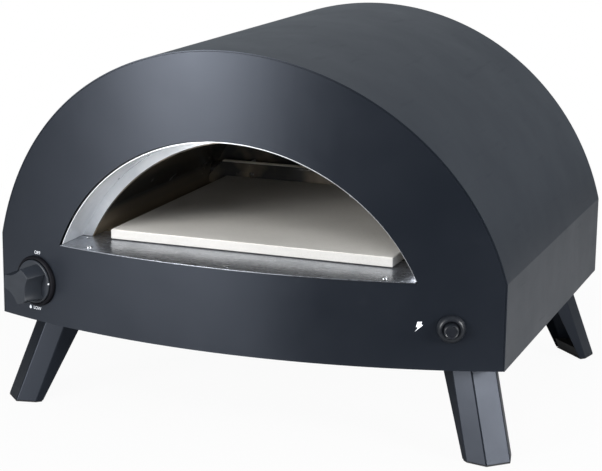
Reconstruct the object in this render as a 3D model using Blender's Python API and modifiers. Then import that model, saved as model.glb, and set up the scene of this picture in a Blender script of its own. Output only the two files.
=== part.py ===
"""A portable gas pizza oven for the table: a folded steel body on four folding legs.

Units are metres. +X is to the right of someone at the mouth, +Y to the back and +Z up. The origin is on the table,
under the middle of the whole object. Heights of the body's pieces are given above the body's bottom edge.
"""

import math

import bmesh
import bpy
from mathutils import Matrix, Vector

# Body
BODY_WIDTH = 0.530
BODY_HEIGHT = 0.2913
CREASE_HEIGHT = 0.0835
SIDE_DEPTH = 0.412
FRONT_BOW = 0.0498
SHEET = 0.0012
CLEARANCE = 0.0003
PANEL_FLANGE = 0.012
REAR_INSET = 0.004
PAN_HEIGHT = 0.014

# Mouth
MOUTH_OVER = 0.023
MOUTH_FLOOR = 0.083
MOUTH_DROP = 0.008
TRIM_SHEET = 0.001
TRIM_PROUD = 0.0012
TRIM_REACH = 0.020
TRIM_FLANGE = 0.0105
SILL_SHEET = 0.0012
SILL_PROUD = 0.0016
SILL_HEM = 0.0026
SILL_REACH = 0.046
LEDGE_REACH = 0.016
SILL_SCREW_INSET = 0.0315
SILL_SCREW_SETBACK = 0.0095

# Cooking chamber
LINER_SIDE_ROOM = 0.0915
LINER_CREASE_RISE = 0.024
LINER_TOP_ROOM = 0.0783
LINER_SHEET = 0.001
LINER_LIP = 0.0015
CHAMBER_REAR_ROOM = 0.067
BLANKET = 0.025
BLANKET_FOOT = 0.086
BLANKET_FRONT = 0.027
BLANKET_END = 0.045
STONE_SIDE_ROOM = 0.0245
STONE_REAR_GAP = 0.001
STONE_THICKNESS = 0.010
STONE_SETBACK = 0.0145
STONE_REST = 0.0006
STONE_EDGE = 0.0012
TRAY_RIM = 0.010
SUPPORT_INSET = 0.0635
SUPPORT_FLANGE = 0.016

# Gas burner at the back of the chamber
BURNER_REAR_ROOM = 0.016
BURNER_RISE = 0.015
BURNER_RADIUS = 0.010
BURNER_WALL = 0.0014
BURNER_END_ROOM = 0.0335
BURNER_START_ROOM = 0.0135
BURNER_PORTS = 12
BURNER_PORT_WIDTH = 0.0024
BURNER_PORT_LENGTH = 0.007
BRACKET_INSET = 0.0485
BRACKET_PLATE = 0.002
BRACKET_MARGIN = 0.0022
GUARD_REAR_ROOM = 0.0315
GUARD_RISE = 0.014
GUARD_LIP = 0.007
GUARD_BEND = 0.004
GUARD_FOOT = 0.006
GUARD_END_GAP = 0.001
GUARD_CORNER = 0.018
GUARD_SCREW_INSET = 0.0555
VENTURI_OVERLAP = 0.010
VENTURI_SIDE_ROOM = 0.0255
VENTURI_WALL = 0.0014
VENTURI_BELL = 0.013
VENTURI_FLARE = 0.010
JET_LENGTH = 0.018
JET_RADIUS = 0.005
JET_TIP_RADIUS = 0.0024
JET_TIP_LENGTH = 0.007
PIPE_RADIUS = 0.004
PIPE_BEND = 0.009

# Knob and gas valve, on one axis square to the bowed panel
KNOB_INSET = 0.0485
KNOB_HEIGHT = 0.042
KNOB_TOP = 0.0285
KNOB_FOOT = 0.004
SKIRT_RADIUS = 0.0206
SKIRT_HEIGHT = 0.0075
GRIP_RADIUS = 0.0176
GRIP_FLUTE = 0.0022
GRIP_LOBES = 6
LOBE_STEPS = 8
GRIP_ROUNDING = 0.0014
KNOB_HOLLOW = 0.0095
KNOB_HOLLOW_TOP = 0.0125
BEZEL_WALL = 0.0018
BEZEL_GAP = 0.0004
BEZEL_HEIGHT = 0.005
KNOB_STROKE = 0.003
STEM_RADIUS = 0.0038
STEM_TOP = 0.024
STEM_FOOT = 0.018
RETAINER_HEIGHT = 0.0092
RETAINER_THICKNESS = 0.0015
RETAINER_RADIUS = 0.0082
SPRING_WIRE = 0.0005
SPRING_RADIUS = 0.0062
SPRING_TURNS = 4
VALVE_WIDTH = 0.026
VALVE_HEIGHT = 0.030
VALVE_FRONT = 0.012
VALVE_REAR = 0.050
VALVE_NECK = 0.0085
VALVE_PROUD = 0.0012
VALVE_PORT = 0.0055
VALVE_PORT_LENGTH = 0.010
VALVE_INLET_DEPTH = 0.040
VALVE_PLATE_WIDTH = 0.046
VALVE_PLATE_HEIGHT = 0.040
VALVE_PLATE = 0.0015
RUNNING_GAP = 0.00008

# Gas inlet at the back
INLET_PROUD = 0.022
INLET_INSET = 0.0485
INLET_HEIGHT = 0.040
INLET_BORE = 0.003
INLET_THREAD = 0.0065
INLET_THREAD_LENGTH = 0.016
INLET_HEX = 0.0105
INLET_HEX_LENGTH = 0.007
INLET_BARB = 0.0055
INLET_BARB_STEP = 0.001
INLET_BARBS = 3
NUT_THICKNESS = 0.005
NUT_MARGIN = 0.0045
INLET_RUN_HEIGHT = 0.011

# Igniter, square to the bowed panel at the right
IGNITER_INSET = 0.048
IGNITER_HEIGHT = 0.041
IGNITER_FLANGE = 0.0135
IGNITER_FLANGE_EDGE = 0.0018
IGNITER_COLLAR = 0.0095
IGNITER_COLLAR_TOP = 0.006
IGNITER_BARREL = 0.009
IGNITER_BARREL_LENGTH = 0.042
IGNITER_END_WALL = 0.004
BUTTON_RADIUS = 0.0071
BUTTON_TOP = 0.013
BUTTON_FOOT = 0.008
BUTTON_EDGE = 0.0018
IGNITER_SPRING_TURNS = 6
LEAD_RADIUS = 0.0015
LEAD_BEND = 0.020
ELECTRODE_RADIUS = 0.0011
ELECTRODE_GAP = 0.006
ELECTRODE_TAIL = 0.004
ELECTRODE_RISE = 0.006
INSULATOR_RADIUS = 0.0035
INSULATOR_COLLAR = 0.0055
INSULATOR_INSIDE = 0.012
INSULATOR_OUTSIDE = 0.020

# Folding legs
LEG_HEIGHT = 0.095
LEG_INSET_SIDE = 0.0462
LEG_INSET_END = 0.0485
LEG_SPLAY = math.radians(22.3)
LEG_WEB = 0.0266
LEG_WIDTH = 0.050
LEG_SHOULDER = 0.0167
LEG_PIVOT_DEPTH = 0.024
LEG_FOOT_DEPTH = 0.0235
LEG_TOP_GAP = 0.0005
PIVOT_DROP = 0.0105
PIN_RADIUS = 0.0025
PIN_GAP = 0.0001
PIN_HEAD = 0.0045
PIN_HEAD_HEIGHT = 0.0016
EAR_SHEET = 0.002
EAR_REACH = 0.0062
EAR_BACK = 0.0075
BRACKET_LENGTH = 0.028
BRACKET_LIP = 0.002
PAD_SOLE = 0.0012
PAD_PLUG = 0.012
PAD_MARGIN = 0.0005

# Vents
REAR_VENTS = 9
REAR_VENT_PITCH = 0.022
REAR_VENT_WIDTH = 0.006
REAR_VENT_LENGTH = 0.036
REAR_VENT_HEIGHT = 0.052
FLOOR_VENTS = 4
FLOOR_VENT_PITCH = 0.060
FLOOR_VENT_WIDTH = 0.006
FLOOR_VENT_LENGTH = 0.042
FLOOR_VENT_ROW_SHARES = (0.27, 0.73)

# Screws
SCREW_RADIUS = 0.0015
SCREW_LENGTH = 0.007
SCREW_HEAD = 0.003
SCREW_DOME = 0.00025
SCREW_DOME_SHARES = (0.7, 0.6)
SCREW_HEAD_HEIGHT = 0.0013

# Mesh fineness and overruns of cutting tools
ARC_STEPS = 36
BOW_STEPS = 20
ROUND_STEPS = 24
SMALL_STEPS = 16
SPRING_STEPS = 9
SLOT_STEPS = 4
BEND_STEPS = 5
GUARD_STEPS = 4
LEG_ROUND_STEPS = 6
SHARP_ANGLE = math.radians(30)
OVERRUN = 0.010
MERGE = 0.00001

# Derived sizes
LINER_WIDTH = BODY_WIDTH - 2 * LINER_SIDE_ROOM
LINER_CROWN = BODY_HEIGHT - LINER_TOP_ROOM
LINER_CREASE = MOUTH_FLOOR + LINER_CREASE_RISE
MOUTH_WIDTH = LINER_WIDTH + MOUTH_OVER
MOUTH_CROWN = LINER_CROWN - MOUTH_DROP
CHAMBER_REACH = SIDE_DEPTH - CHAMBER_REAR_ROOM
BLANKET_REAR = CHAMBER_REACH - BLANKET_END
BURNER_SETBACK = CHAMBER_REACH - BURNER_REAR_ROOM
BURNER_HEIGHT = MOUTH_FLOOR + BURNER_RISE
GUARD_HEIGHT = BURNER_HEIGHT + GUARD_RISE
GUARD_SETBACK = CHAMBER_REACH - GUARD_REAR_ROOM
STONE_WIDTH = LINER_WIDTH - 2 * STONE_SIDE_ROOM
STONE_DEPTH = GUARD_SETBACK - STONE_REAR_GAP - STONE_SETBACK
SUPPORT_X = LINER_WIDTH / 2 - SUPPORT_INSET
BURNER_END = LINER_WIDTH / 2 - BURNER_END_ROOM
BURNER_START = LINER_WIDTH / 2 - BURNER_START_ROOM
VENTURI_LENGTH = LINER_SIDE_ROOM - VENTURI_SIDE_ROOM
BRACKET_X = LINER_WIDTH / 2 - BRACKET_INSET
GUARD_SCREW_X = GUARD_SCREW_INSET - LINER_WIDTH / 2
SILL_SCREW_X = MOUTH_WIDTH / 2 - SILL_SCREW_INSET
KNOB_X = KNOB_INSET - BODY_WIDTH / 2
INLET_X = INLET_INSET - BODY_WIDTH / 2
IGNITER_X = BODY_WIDTH / 2 - IGNITER_INSET

# Derived places
FRONT_REACH = FRONT_BOW + SILL_PROUD
SIDE_FRONT_Y = (FRONT_REACH - SIDE_DEPTH - INLET_PROUD) / 2
REAR_Y = SIDE_FRONT_Y + SIDE_DEPTH
REAR_FACE_Y = REAR_Y - REAR_INSET
REAR_INNER_Y = REAR_FACE_Y - SHEET
SEAT = SHEET + CLEARANCE
BOW_RADIUS = ((BODY_WIDTH / 2) ** 2 + FRONT_BOW**2) / (2 * FRONT_BOW)
BOW_CENTRE_Y = SIDE_FRONT_Y - FRONT_BOW + BOW_RADIUS
PAN_TOP = LEG_HEIGHT + SHEET
SILL_TOP = LEG_HEIGHT + MOUTH_FLOOR + SILL_SHEET
SILL_UNDER = LEG_HEIGHT + MOUTH_FLOOR
LINER_FRONT_Y = SIDE_FRONT_Y + TRIM_REACH + CLEARANCE
LINER_REAR_Y = SIDE_FRONT_Y + CHAMBER_REACH
LINER_FOOT = PAN_TOP + CLEARANCE
LINER_INNER = LINER_WIDTH / 2 - LINER_SHEET - CLEARANCE
BURNER_Y = SIDE_FRONT_Y + BURNER_SETBACK
BURNER_Z = LEG_HEIGHT + BURNER_HEIGHT
VENTURI_RADIUS = BURNER_RADIUS - BURNER_WALL - CLEARANCE
STEM_BORE = STEM_RADIUS + RUNNING_GAP
ELECTRODE_Z = BURNER_Z + ELECTRODE_RISE
LEG_ROUND = PIVOT_DROP - LEG_TOP_GAP
PIVOT_Z = LEG_HEIGHT - PIVOT_DROP
PAD_TOP = PAD_SOLE + CLEARANCE

# Colour, roughness and metallic value of each finish
FINISHES = {
    "black_coat": ((0.050, 0.056, 0.066, 1), 0.45, 0.2),
    "black_enamel": ((0.012, 0.013, 0.016, 1), 0.35, 0.2),
    "stainless": ((0.72, 0.73, 0.74, 1), 0.25, 1.0),
    "stone": ((0.86, 0.84, 0.78, 1), 0.9, 0.0),
    "galvanised": ((0.55, 0.56, 0.58, 1), 0.4, 1.0),
    "brass": ((0.75, 0.58, 0.25, 1), 0.3, 1.0),
    "black_plastic": ((0.020, 0.022, 0.026, 1), 0.4, 0.0),
    "ceramic": ((0.90, 0.89, 0.86, 1), 0.3, 0.0),
    "blanket": ((0.80, 0.80, 0.78, 1), 0.95, 0.0),
    "rubber": ((0.015, 0.015, 0.016, 1), 0.8, 0.0),
}

PARTS = None
CUTTERS = None


class Arch:
    """An outline of two upright sides and one arc over the top, in a plane across the oven."""

    def __init__(self, width, spring, crown, upright):
        rise = crown - spring
        self.half = width / 2
        self.way = 1 if self.half > rise else -1
        self.radius = (self.half**2 + rise**2) / (2 * rise)
        self.centre = LEG_HEIGHT + crown - self.radius
        self.upright = upright

    def half_at(self, z, inset=0.0):
        """The half width of the arc at a height, moved inwards by inset."""
        return math.sqrt((self.radius - inset) ** 2 - (z - self.centre) ** 2)

    def points(self, foot, inset=0.0):
        """(x, z) from the right foot over the crown to the left foot, moved inwards by inset."""
        radius = self.radius - inset
        side = self.half - inset if self.upright else self.half_at(foot, inset)
        spring = self.centre + self.way * math.sqrt(radius**2 - side**2) if self.upright else foot
        start = math.atan2(side, spring - self.centre)
        turns = [start - 2 * start * i / ARC_STEPS for i in range(ARC_STEPS + 1)]
        arc = [(radius * math.sin(t), self.centre + radius * math.cos(t)) for t in turns]
        if self.upright:
            return [(side, foot)] + arc + [(-side, foot)]
        return arc


BODY_ARCH = Arch(BODY_WIDTH, CREASE_HEIGHT, BODY_HEIGHT, True)
MOUTH_ARCH = Arch(MOUTH_WIDTH, MOUTH_FLOOR, MOUTH_CROWN, False)
LINER_ARCH = Arch(LINER_WIDTH, LINER_CREASE, LINER_CROWN, True)


def bow_y(x, inset=0.0):
    """How far forward the bowed front lies at x, moved back by inset."""
    return BOW_CENTRE_Y - math.sqrt((BOW_RADIUS - inset) ** 2 - x**2)


def bow_points(half, inset=0.0):
    """(x, y) along the bowed front from -half to half."""
    return [(x, bow_y(x, inset)) for x in (half * (2 * i / BOW_STEPS - 1) for i in range(BOW_STEPS + 1))]


def bow_frame(x, z):
    """A frame on the bowed panel's face: local Z points out of the panel, and local Y is up."""
    turn = math.asin(x / BOW_RADIUS)
    aim = Matrix.Rotation(turn, 4, "Z") @ Matrix.Rotation(math.pi / 2, 4, "X")
    return Matrix.Translation((x, bow_y(x), z)) @ aim


def across(y):
    """A frame whose outline lies in the XZ plane at y."""
    return Matrix.Translation((0, y, 0)) @ Matrix.Rotation(math.pi / 2, 4, "X")


def level(z):
    """A frame whose outline lies flat at height z."""
    return Matrix.Translation((0, 0, z))


def along_x(x, y, z):
    """A frame whose local Z points along +X."""
    return Matrix.Translation((x, y, z)) @ Matrix.Rotation(math.pi / 2, 4, "Y")


def along_y(x, y, z):
    """A frame whose local Z points along +Y."""
    return Matrix.Translation((x, y, z)) @ Matrix.Rotation(-math.pi / 2, 4, "X")


def circle(radius, steps, centre=(0.0, 0.0)):
    """The corners of a regular outline."""
    turns = [2 * math.pi * i / steps for i in range(steps)]
    return [(centre[0] + radius * math.cos(t), centre[1] + radius * math.sin(t)) for t in turns]


def rectangle(x0, x1, y0, y1):
    """The corners of a rectangle."""
    return [(x0, y0), (x1, y0), (x1, y1), (x0, y1)]


def slot(centre, length, width, upright):
    """A slot with round ends about a centre, along the first axis or, if upright, the second."""
    reach = (length - width) / 2
    outline = []
    for side, start in ((1, -math.pi / 2), (-1, math.pi / 2)):
        for i in range(SLOT_STEPS + 1):
            turn = start + math.pi * i / SLOT_STEPS
            x, y = side * reach + width / 2 * math.cos(turn), width / 2 * math.sin(turn)
            outline.append((centre[0] - y, centre[1] + x) if upright else (centre[0] + x, centre[1] + y))
    return outline


def inset_outline(outline, distance):
    """A convex outline, corners counter-clockwise, with each side moved inwards by distance."""
    moved = []
    for before, corner, after in zip(outline[-1:] + outline, outline, outline[1:] + outline[:1]):
        into = (Vector(corner) - Vector(before)).normalized()
        out = (Vector(after) - Vector(corner)).normalized()
        normal = Vector((-into.y, into.x)) + Vector((-out.y, out.x))
        scale = 2 * distance / normal.length_squared
        moved.append((corner[0] + normal.x * scale, corner[1] + normal.y * scale))
    return moved


def finish(name):
    """The material of a finish, made once."""
    material = bpy.data.materials.get(name)
    if material is None:
        colour, roughness, metallic = FINISHES[name]
        material = bpy.data.materials.new(name)
        material.use_nodes = True
        shader = material.node_tree.nodes["Principled BSDF"]
        shader.inputs["Base Color"].default_value = colour
        shader.inputs["Roughness"].default_value = roughness
        shader.inputs["Metallic"].default_value = metallic
        material.diffuse_color = colour
    return material


def place(name, data, matrix, look):
    """An object for a mesh or curve: a part where a look is given, otherwise a hidden tool."""
    obj = bpy.data.objects.new(name, data)
    obj.matrix_world = matrix
    if look:
        PARTS.objects.link(obj)
        data.materials.append(finish(look))
    else:
        CUTTERS.objects.link(obj)
        obj.hide_render = True
        obj.display_type = "WIRE"
    return obj


def mesh_of(obj):
    """The evaluated mesh of an object, welded, with its normals out."""
    bpy.context.view_layer.update()
    evaluated = obj.evaluated_get(bpy.context.evaluated_depsgraph_get())
    mesh = bpy.data.meshes.new_from_object(evaluated)
    bm = bmesh.new()
    bm.from_mesh(mesh)
    bmesh.ops.remove_doubles(bm, verts=bm.verts, dist=MERGE / 10)
    bmesh.ops.recalc_face_normals(bm, faces=bm.faces)
    bm.to_mesh(mesh)
    bm.free()
    return mesh


def flat(name, outline, depth, matrix, look=None, holes=()):
    """An outline in the frame's XY plane, extruded from there along its +Z by depth, with any holes."""
    curve = bpy.data.curves.new(name, "CURVE")
    curve.dimensions = "2D"
    curve.fill_mode = "BOTH"
    curve.extrude = depth / 2
    for loop in (outline, *holes):
        spline = curve.splines.new("POLY")
        spline.points.add(len(loop) - 1)
        for point, (x, y) in zip(spline.points, loop):
            point.co = (x, y, 0, 1)
        spline.use_cyclic_u = True
    middle = matrix @ Matrix.Translation((0, 0, depth / 2))
    guide = place(name + "_outline", curve, middle, None)
    mesh = mesh_of(guide)
    bpy.data.objects.remove(guide)
    mesh.materials.clear()
    mesh.shade_smooth()
    mesh.set_sharp_from_angle(angle=SHARP_ANGLE)
    return place(name, mesh, middle, look)


def turned(name, profile, matrix, look=None, steps=ROUND_STEPS):
    """(radius, height) points turned about the frame's Z: down the outer side, then up any inner side."""
    bm = bmesh.new()
    verts = [bm.verts.new((radius, 0, height)) for radius, height in profile]
    on_axis = profile[0][0] == 0 and profile[-1][0] == 0
    for pair in zip(verts, verts[1:] if on_axis else verts[1:] + verts[:1]):
        bm.edges.new(pair)
    mesh = bpy.data.meshes.new(name)
    bm.to_mesh(mesh)
    bm.free()
    obj = place(name, mesh, matrix, look)
    screw = obj.modifiers.new("turn", "SCREW")
    screw.steps = screw.render_steps = steps
    screw.use_merge_vertices = True
    screw.merge_threshold = MERGE
    screw.use_smooth_shade = True
    return obj


def folded(name, profile, start, end, wall, matrix=Matrix(), look=None):
    """A sheet along (x, z) points, run along the frame's Y, with its wall on the left of the way the points go."""
    bm = bmesh.new()
    verts = [bm.verts.new((x, start, z)) for x, z in profile]
    edges = [bm.edges.new(pair) for pair in zip(verts, verts[1:])]
    swept = bmesh.ops.extrude_edge_only(bm, edges=edges)["geom"]
    bmesh.ops.translate(bm, verts=[v for v in swept if isinstance(v, bmesh.types.BMVert)], vec=(0, end - start, 0))
    bm.normal_update()
    (x0, z0), (x1, z1) = profile[0], profile[1]
    if edges[0].link_faces[0].normal.dot(Vector((z1 - z0, 0, x0 - x1))) < 0:
        bmesh.ops.reverse_faces(bm, faces=bm.faces)
    mesh = bpy.data.meshes.new(name)
    bm.to_mesh(mesh)
    bm.free()
    mesh.shade_smooth()
    mesh.set_sharp_from_angle(angle=SHARP_ANGLE)
    obj = place(name, mesh, matrix, look)
    solidify = obj.modifiers.new("wall", "SOLIDIFY")
    solidify.thickness = wall
    solidify.offset = -1
    solidify.use_even_offset = True
    return obj


def rounded_route(route, bend):
    """The route's points with each corner replaced by an arc of about the bend's radius."""
    points = [Vector(route[0])]
    for before, corner, after in zip(route, route[1:], route[2:]):
        corner = Vector(corner)
        back, on = Vector(before) - corner, Vector(after) - corner
        half_angle = back.angle(on) / 2
        cut = min(bend / math.tan(half_angle), back.length / 2, on.length / 2)
        first, last = corner + back.normalized() * cut, corner + on.normalized() * cut
        for i in range(BEND_STEPS + 1):
            t = i / BEND_STEPS
            points.append(first * (1 - t) ** 2 + corner * 2 * t * (1 - t) + last * t**2)
    points.append(Vector(route[-1]))
    return points


def tube(name, points, radius, look, resolution=2):
    """A round bar along points, closed at both ends."""
    curve = bpy.data.curves.new(name, "CURVE")
    curve.dimensions = "3D"
    curve.bevel_depth = radius
    curve.bevel_resolution = resolution
    curve.use_fill_caps = True
    spline = curve.splines.new("POLY")
    spline.points.add(len(points) - 1)
    for point, place_of in zip(spline.points, points):
        point.co = (*place_of, 1)
    return place(name, curve, Matrix(), look)


def boolean(obj, tool, operation):
    """Joins, cuts or keeps by a tool object."""
    modifier = obj.modifiers.new(tool.name, "BOOLEAN")
    modifier.object = tool
    modifier.operation = operation


def cut(obj, *tools):
    """Cuts the tools out of the object."""
    for tool in tools:
        boolean(obj, tool, "DIFFERENCE")


def join(obj, *tools):
    """Adds the tools to the object."""
    for tool in tools:
        boolean(obj, tool, "UNION")


def keep(obj, *tools):
    """Keeps what lies inside each tool."""
    for tool in tools:
        boolean(obj, tool, "INTERSECT")


def several(name, outlines, depth, matrix):
    """One cutting tool of several separate outlines."""
    return flat(name, outlines[0], depth, matrix, holes=outlines[1:])


def behind_bow(name, inset, rear, low, high):
    """A tool that holds all between the bowed front, moved back by inset, and a plane at the rear."""
    half = BODY_WIDTH / 2 + OVERRUN
    outline = bow_points(half, inset) + [(half, rear), (-half, rear)]
    return flat(name, outline, high - low, level(low))


def bow_slab(name, half, front, back, low, high):
    """A tool or sheet that follows the bow between two depths behind its face."""
    outline = bow_points(half, front) + bow_points(half, back)[::-1]
    return flat(name, outline, high - low, level(low))


def add_outer_shell():
    """One sheet: up the side, over the top and down, with its front edge cut to the bow."""
    front = SIDE_FRONT_Y - FRONT_BOW - OVERRUN
    shell = folded("outer_shell", BODY_ARCH.points(LEG_HEIGHT), front, REAR_Y, SHEET, look="black_coat")
    top = LEG_HEIGHT + BODY_HEIGHT + OVERRUN
    keep(shell, behind_bow("bow_for_shell", 0.0, REAR_Y + OVERRUN, LEG_HEIGHT - OVERRUN, top))


def add_front_panel():
    """The bowed panel inside the shell's edge, its flange, the ledge under the sill, the mouth and two holes."""
    front = SIDE_FRONT_Y - FRONT_BOW - OVERRUN
    back = SIDE_FRONT_Y + TRIM_REACH
    low, top = LEG_HEIGHT - OVERRUN, LEG_HEIGHT + BODY_HEIGHT
    panel = flat("front_panel", BODY_ARCH.points(LEG_HEIGHT, SEAT), back - front, across(back), "black_coat")
    keep(panel, bow_slab("panel_slab", BODY_WIDTH / 2 + OVERRUN, 0.0, PANEL_FLANGE, low, top))
    hollow = flat("panel_hollow", BODY_ARCH.points(low, SEAT + SHEET), back - front, across(back))
    keep(hollow, behind_bow("hollow_slab", SHEET, back + OVERRUN, low - OVERRUN, top))
    cut(panel, hollow)
    ledge_half = MOUTH_ARCH.half - SILL_REACH / 2
    under = SILL_UNDER - CLEARANCE
    ledge = bow_slab("panel_ledge", ledge_half, SHEET / 2, LEDGE_REACH, under - SHEET, under)
    join(panel, ledge)
    mouth = MOUTH_ARCH.points(SILL_UNDER - CLEARANCE, -CLEARANCE)
    cut(panel, flat("mouth_cut", mouth, back - front, across(back)))
    for name, x, height, radius in (
        ("knob_hole", KNOB_X, KNOB_HEIGHT, VALVE_NECK + CLEARANCE),
        ("igniter_hole", IGNITER_X, IGNITER_HEIGHT, IGNITER_BARREL + CLEARANCE),
    ):
        frame = bow_frame(x, LEG_HEIGHT + height) @ level(-OVERRUN / 2)
        cut(panel, flat(name, circle(radius, ROUND_STEPS), OVERRUN, frame))
    holes = [circle(SCREW_RADIUS + CLEARANCE, SMALL_STEPS, place_of) for place_of in sill_screw_places()]
    cut(panel, several("ledge_holes", holes, 2 * OVERRUN, level(under - OVERRUN)))


def sill_screw_places():
    """(x, y) of the three screws along the sill."""
    return [(x, bow_y(x, SILL_SCREW_SETBACK)) for x in (-SILL_SCREW_X, 0.0, SILL_SCREW_X)]


def add_rear_panel():
    """A flat panel set a little into the shell, with a flange, a row of vents and the gas inlet's hole."""
    outline = BODY_ARCH.points(LEG_HEIGHT, SEAT)
    panel = flat("rear_panel", outline, PANEL_FLANGE, across(REAR_FACE_Y), "black_coat")
    inner = BODY_ARCH.points(LEG_HEIGHT - OVERRUN, SEAT + SHEET)
    middle = (REAR_VENTS - 1) / 2
    vent_z = LEG_HEIGHT + REAR_VENT_HEIGHT
    places = [((i - middle) * REAR_VENT_PITCH, vent_z) for i in range(REAR_VENTS)]
    holes = [slot(place_of, REAR_VENT_LENGTH, REAR_VENT_WIDTH, True) for place_of in places]
    holes.append(circle(INLET_THREAD + CLEARANCE, SMALL_STEPS, (INLET_X, LEG_HEIGHT + INLET_HEIGHT)))
    cut(
        panel,
        flat("rear_hollow", inner, PANEL_FLANGE, across(REAR_INNER_Y)),
        several("rear_holes", holes, 2 * OVERRUN, across(REAR_FACE_Y + OVERRUN)),
    )


def pan_outline(inset):
    """The base pan's outline, its walls moved inwards by inset."""
    half = BODY_WIDTH / 2 - 2 * SEAT - inset
    rear = REAR_INNER_Y - CLEARANCE - inset
    return bow_points(half, SEAT + inset) + [(half, rear), (-half, rear)]


def add_base_pan():
    """The floor of the body, with low walls and rows of air slots."""
    pan = flat("base_pan", pan_outline(0.0), PAN_HEIGHT, level(LEG_HEIGHT), "black_coat")
    cut(pan, flat("pan_hollow", pan_outline(SHEET), PAN_HEIGHT, level(PAN_TOP)))
    middle = (FLOOR_VENTS - 1) / 2
    rows = [SIDE_FRONT_Y + share * SIDE_DEPTH for share in FLOOR_VENT_ROW_SHARES]
    places = [((i - middle) * FLOOR_VENT_PITCH, y) for y in rows for i in range(FLOOR_VENTS)]
    slots = [slot(place_of, FLOOR_VENT_LENGTH, FLOOR_VENT_WIDTH, False) for place_of in places]
    cut(pan, several("pan_slots", slots, 2 * OVERRUN, level(LEG_HEIGHT - OVERRUN)))


def add_mouth_arch_trim():
    """The strip that lines the arch, standing a little proud of the panel, with a flange at its inner end."""
    foot = SILL_TOP + CLEARANCE
    back = SIDE_FRONT_Y + TRIM_REACH
    front = SIDE_FRONT_Y - FRONT_BOW - OVERRUN
    trim = flat("mouth_arch_trim", MOUTH_ARCH.points(foot), back - front, across(back), "stainless")
    bore_back = back - TRIM_SHEET
    low = foot - OVERRUN
    bore = flat("trim_bore", MOUTH_ARCH.points(low, TRIM_SHEET), bore_back - front + OVERRUN, across(bore_back))
    eye_back = back + OVERRUN
    eye = flat("trim_eye", MOUTH_ARCH.points(low, TRIM_FLANGE), eye_back - front + OVERRUN, across(eye_back))
    cut(trim, bore, eye)
    top = LEG_HEIGHT + MOUTH_CROWN + OVERRUN
    keep(trim, behind_bow("bow_for_trim", -TRIM_PROUD, back + OVERRUN, low, top))


def add_mouth_sill():
    """The plate at the bottom of the mouth: wide at the front, narrower in the chamber, hemmed over the panel."""
    inset = TRIM_FLANGE + LINER_LIP
    half = min(MOUTH_ARCH.half_at(z) for z in (SILL_TOP, SILL_UNDER))
    narrow = min(MOUTH_ARCH.half_at(z, inset) for z in (SILL_TOP, SILL_UNDER - CLEARANCE)) - CLEARANCE
    step = SIDE_FRONT_Y + TRIM_REACH
    rear = SIDE_FRONT_Y + SILL_REACH
    outline = bow_points(half, -SILL_PROUD)
    outline += [(half, step), (narrow, step), (narrow, rear), (-narrow, rear), (-narrow, step), (-half, step)]
    low = SILL_TOP - SILL_HEM
    sill = flat("mouth_sill", outline, SILL_HEM, level(low), "stainless")
    cut(sill, behind_bow("sill_under", -CLEARANCE, rear + OVERRUN, low - OVERRUN, SILL_UNDER))
    for i, (x, y) in enumerate(sill_screw_places()):
        sink = screw_profile(CLEARANCE, OVERRUN)
        cut(sill, turned(f"sill_sink_{i}", sink, Matrix.Translation((x, y, SILL_TOP)), steps=SMALL_STEPS))


def screw_profile(grow, over):
    """A countersunk screw from the face down, or its hole: larger by grow, and over above the face."""
    head, shank = SCREW_HEAD + grow, SCREW_RADIUS + grow
    across_share, height_share = SCREW_DOME_SHARES
    dome = [(0, SCREW_DOME), (head * across_share, SCREW_DOME * height_share)]
    top = [(0, over), (head, over)] if over else dome
    return top + [(head, 0), (shank, -SCREW_HEAD_HEIGHT), (shank, -SCREW_LENGTH), (0, -SCREW_LENGTH)]


def add_sill_screws():
    """Three screws with nearly flush heads."""
    for side, (x, y) in zip(("left", "centre", "right"), sill_screw_places()):
        frame = Matrix.Translation((x, y, SILL_TOP))
        turned(f"sill_screw_{side}", screw_profile(0.0, 0.0), frame, "stainless", SMALL_STEPS)


def add_pizza_stone():
    """The flat stone with eased edges."""
    front = SIDE_FRONT_Y + STONE_SETBACK
    bm = bmesh.new()
    bmesh.ops.create_cube(bm, size=1)
    bmesh.ops.scale(bm, verts=bm.verts, vec=(STONE_WIDTH, STONE_DEPTH, STONE_THICKNESS))
    mesh = bpy.data.meshes.new("pizza_stone")
    bm.to_mesh(mesh)
    bm.free()
    middle = (0, front + STONE_DEPTH / 2, SILL_TOP + STONE_REST + STONE_THICKNESS / 2)
    stone = place("pizza_stone", mesh, Matrix.Translation(middle), "stone")
    edge = stone.modifiers.new("edge", "BEVEL")
    edge.width = STONE_EDGE
    edge.segments = 2


def add_hearth():
    """The tray that carries the stone, with a rim turned down, and the two channels under it."""
    front = SIDE_FRONT_Y + SILL_REACH + CLEARANCE
    rear = LINER_REAR_Y - SHEET - CLEARANCE
    tray_low = SILL_TOP - TRAY_RIM
    outline = rectangle(-LINER_INNER, LINER_INNER, front, rear)
    tray = flat("hearth_tray", outline, TRAY_RIM, level(tray_low), "black_enamel")
    hollow = rectangle(-LINER_INNER + SHEET, LINER_INNER - SHEET, front - OVERRUN, rear - SHEET)
    cut(tray, flat("tray_hollow", hollow, TRAY_RIM, level(tray_low - SHEET)))
    low, high = PAN_TOP + CLEARANCE, SILL_TOP - SHEET - CLEARANCE
    start, end = LINER_FRONT_Y + SEAT, rear - SHEET - CLEARANCE
    for side, name in ((1, "right"), (-1, "left")):
        web, tip = side * SUPPORT_X, side * (SUPPORT_X - SUPPORT_FLANGE)
        profile = [(tip, low), (web, low), (web, high), (tip, high)]
        if side < 0:
            profile.reverse()
        folded(f"hearth_support_{name}", profile, start, end, SHEET, look="galvanised")


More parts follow.
